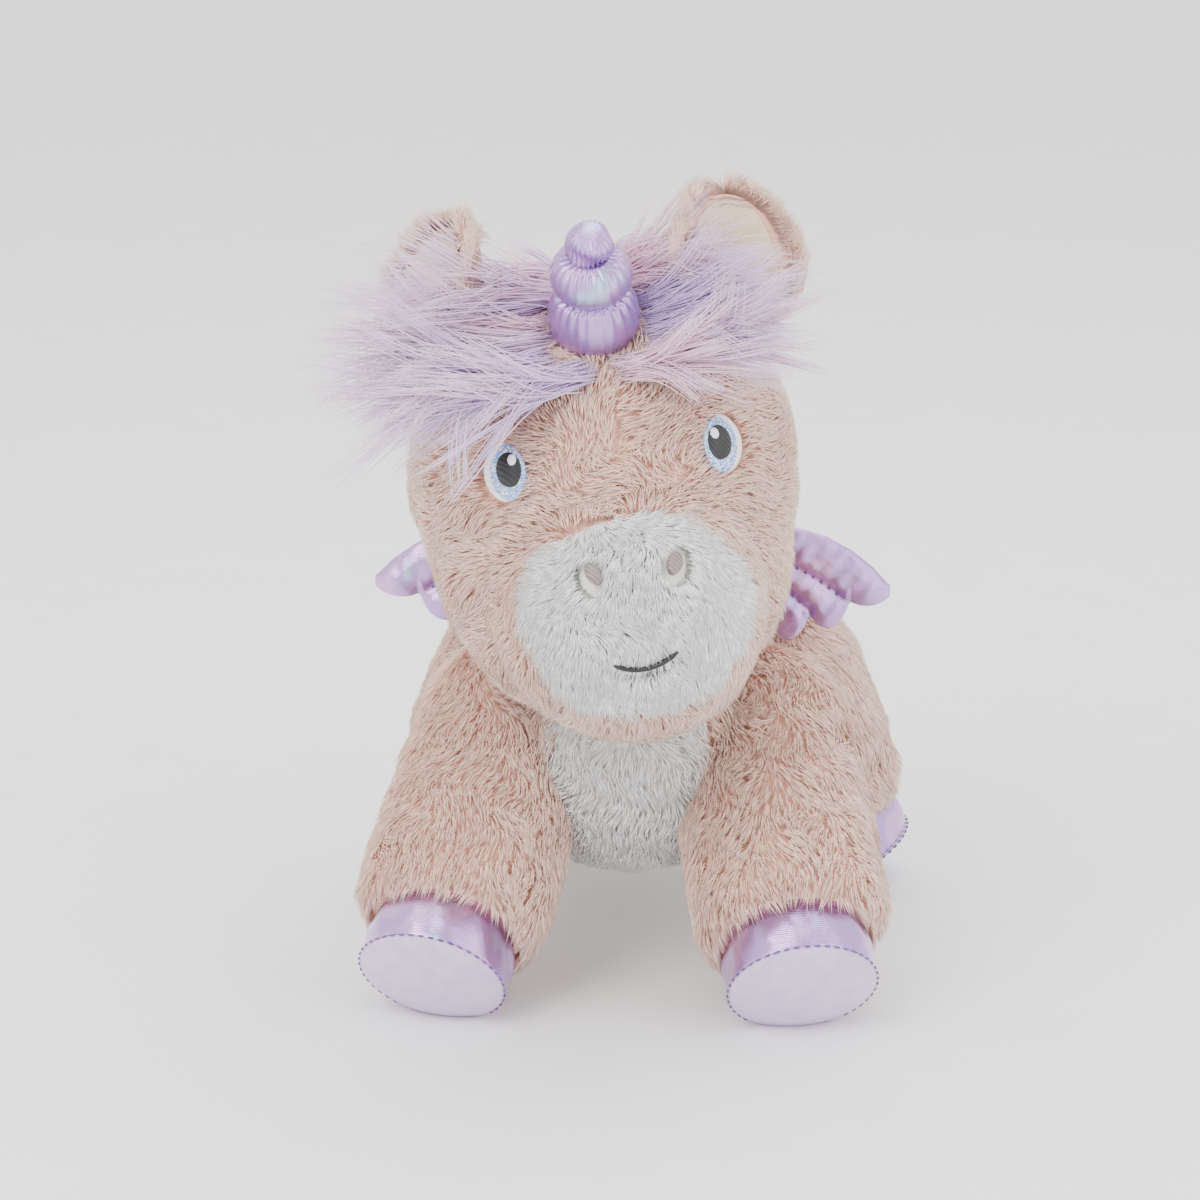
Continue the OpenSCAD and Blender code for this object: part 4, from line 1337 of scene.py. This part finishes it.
class UNICORN_OT_ears(BuildStep, Operator):
    """Builds both ears"""

    bl_idname = "unicorn.ears"
    bl_label = "Ears"
    build = staticmethod(build_ears)


class UNICORN_OT_wings(BuildStep, Operator):
    """Builds both quilted wings"""

    bl_idname = "unicorn.wings"
    bl_label = "Wings"
    build = staticmethod(build_wings)


class UNICORN_OT_horn(BuildStep, Operator):
    """Builds the gathered horn"""

    bl_idname = "unicorn.horn"
    bl_label = "Horn"
    build = staticmethod(build_horn)


class UNICORN_OT_forelock(BuildStep, Operator):
    """Builds the forelock"""

    bl_idname = "unicorn.forelock"
    bl_label = "Forelock"
    build = staticmethod(build_forelock)


class UNICORN_OT_mane(BuildStep, Operator):
    """Builds the mane on the back of the head"""

    bl_idname = "unicorn.mane"
    bl_label = "Mane"
    build = staticmethod(build_mane)


class UNICORN_OT_tail(BuildStep, Operator):
    """Builds the tail"""

    bl_idname = "unicorn.tail"
    bl_label = "Tail"
    build = staticmethod(build_tail)


class UNICORN_OT_trim(BuildStep, Operator):
    """Gives the frame's own pieces their finishes"""

    bl_idname = "unicorn.trim"
    bl_label = "Trim"
    build = staticmethod(build_trim)


class UNICORN_OT_stage(BuildStep, Operator):
    """Sets up the floor, the lights and the camera"""

    bl_idname = "unicorn.stage"
    bl_label = "Stage"
    build = staticmethod(build_stage)


STEPS = (
    UNICORN_OT_materials, UNICORN_OT_head, UNICORN_OT_face, UNICORN_OT_torso, UNICORN_OT_legs, UNICORN_OT_ears,
    UNICORN_OT_wings, UNICORN_OT_horn, UNICORN_OT_forelock, UNICORN_OT_mane, UNICORN_OT_tail, UNICORN_OT_trim,
    UNICORN_OT_stage,
)


class UNICORN_PT_panel(Panel):
    """Sidebar panel with the sizes and the steps in the order in which they are run"""

    bl_label = "Plush unicorn"
    bl_idname = "UNICORN_PT_panel"
    bl_space_type = "VIEW_3D"
    bl_region_type = "UI"
    bl_category = "Plush unicorn"

    def draw(self, context):
        for group in (context.scene.unicorn_fur, context.scene.unicorn_stage):
            for key in type(group).__annotations__:
                self.layout.prop(group, key)
        for step in STEPS:
            self.layout.operator(step.bl_idname)


CLASSES = (UNICORN_PG_fur, UNICORN_PG_stage, *STEPS, UNICORN_PT_panel)


def register():
    for cls in CLASSES:
        bpy.utils.register_class(cls)
    bpy.types.Scene.unicorn_fur = PointerProperty(type=UNICORN_PG_fur)
    bpy.types.Scene.unicorn_stage = PointerProperty(type=UNICORN_PG_stage)


def unregister():
    del bpy.types.Scene.unicorn_fur
    del bpy.types.Scene.unicorn_stage
    for cls in reversed(CLASSES):
        bpy.utils.unregister_class(cls)


def main():
    register()
    for step in STEPS:
        group, name = step.bl_idname.split(".")
        getattr(getattr(bpy.ops, group), name)()


if __name__ == "__main__":
    main()
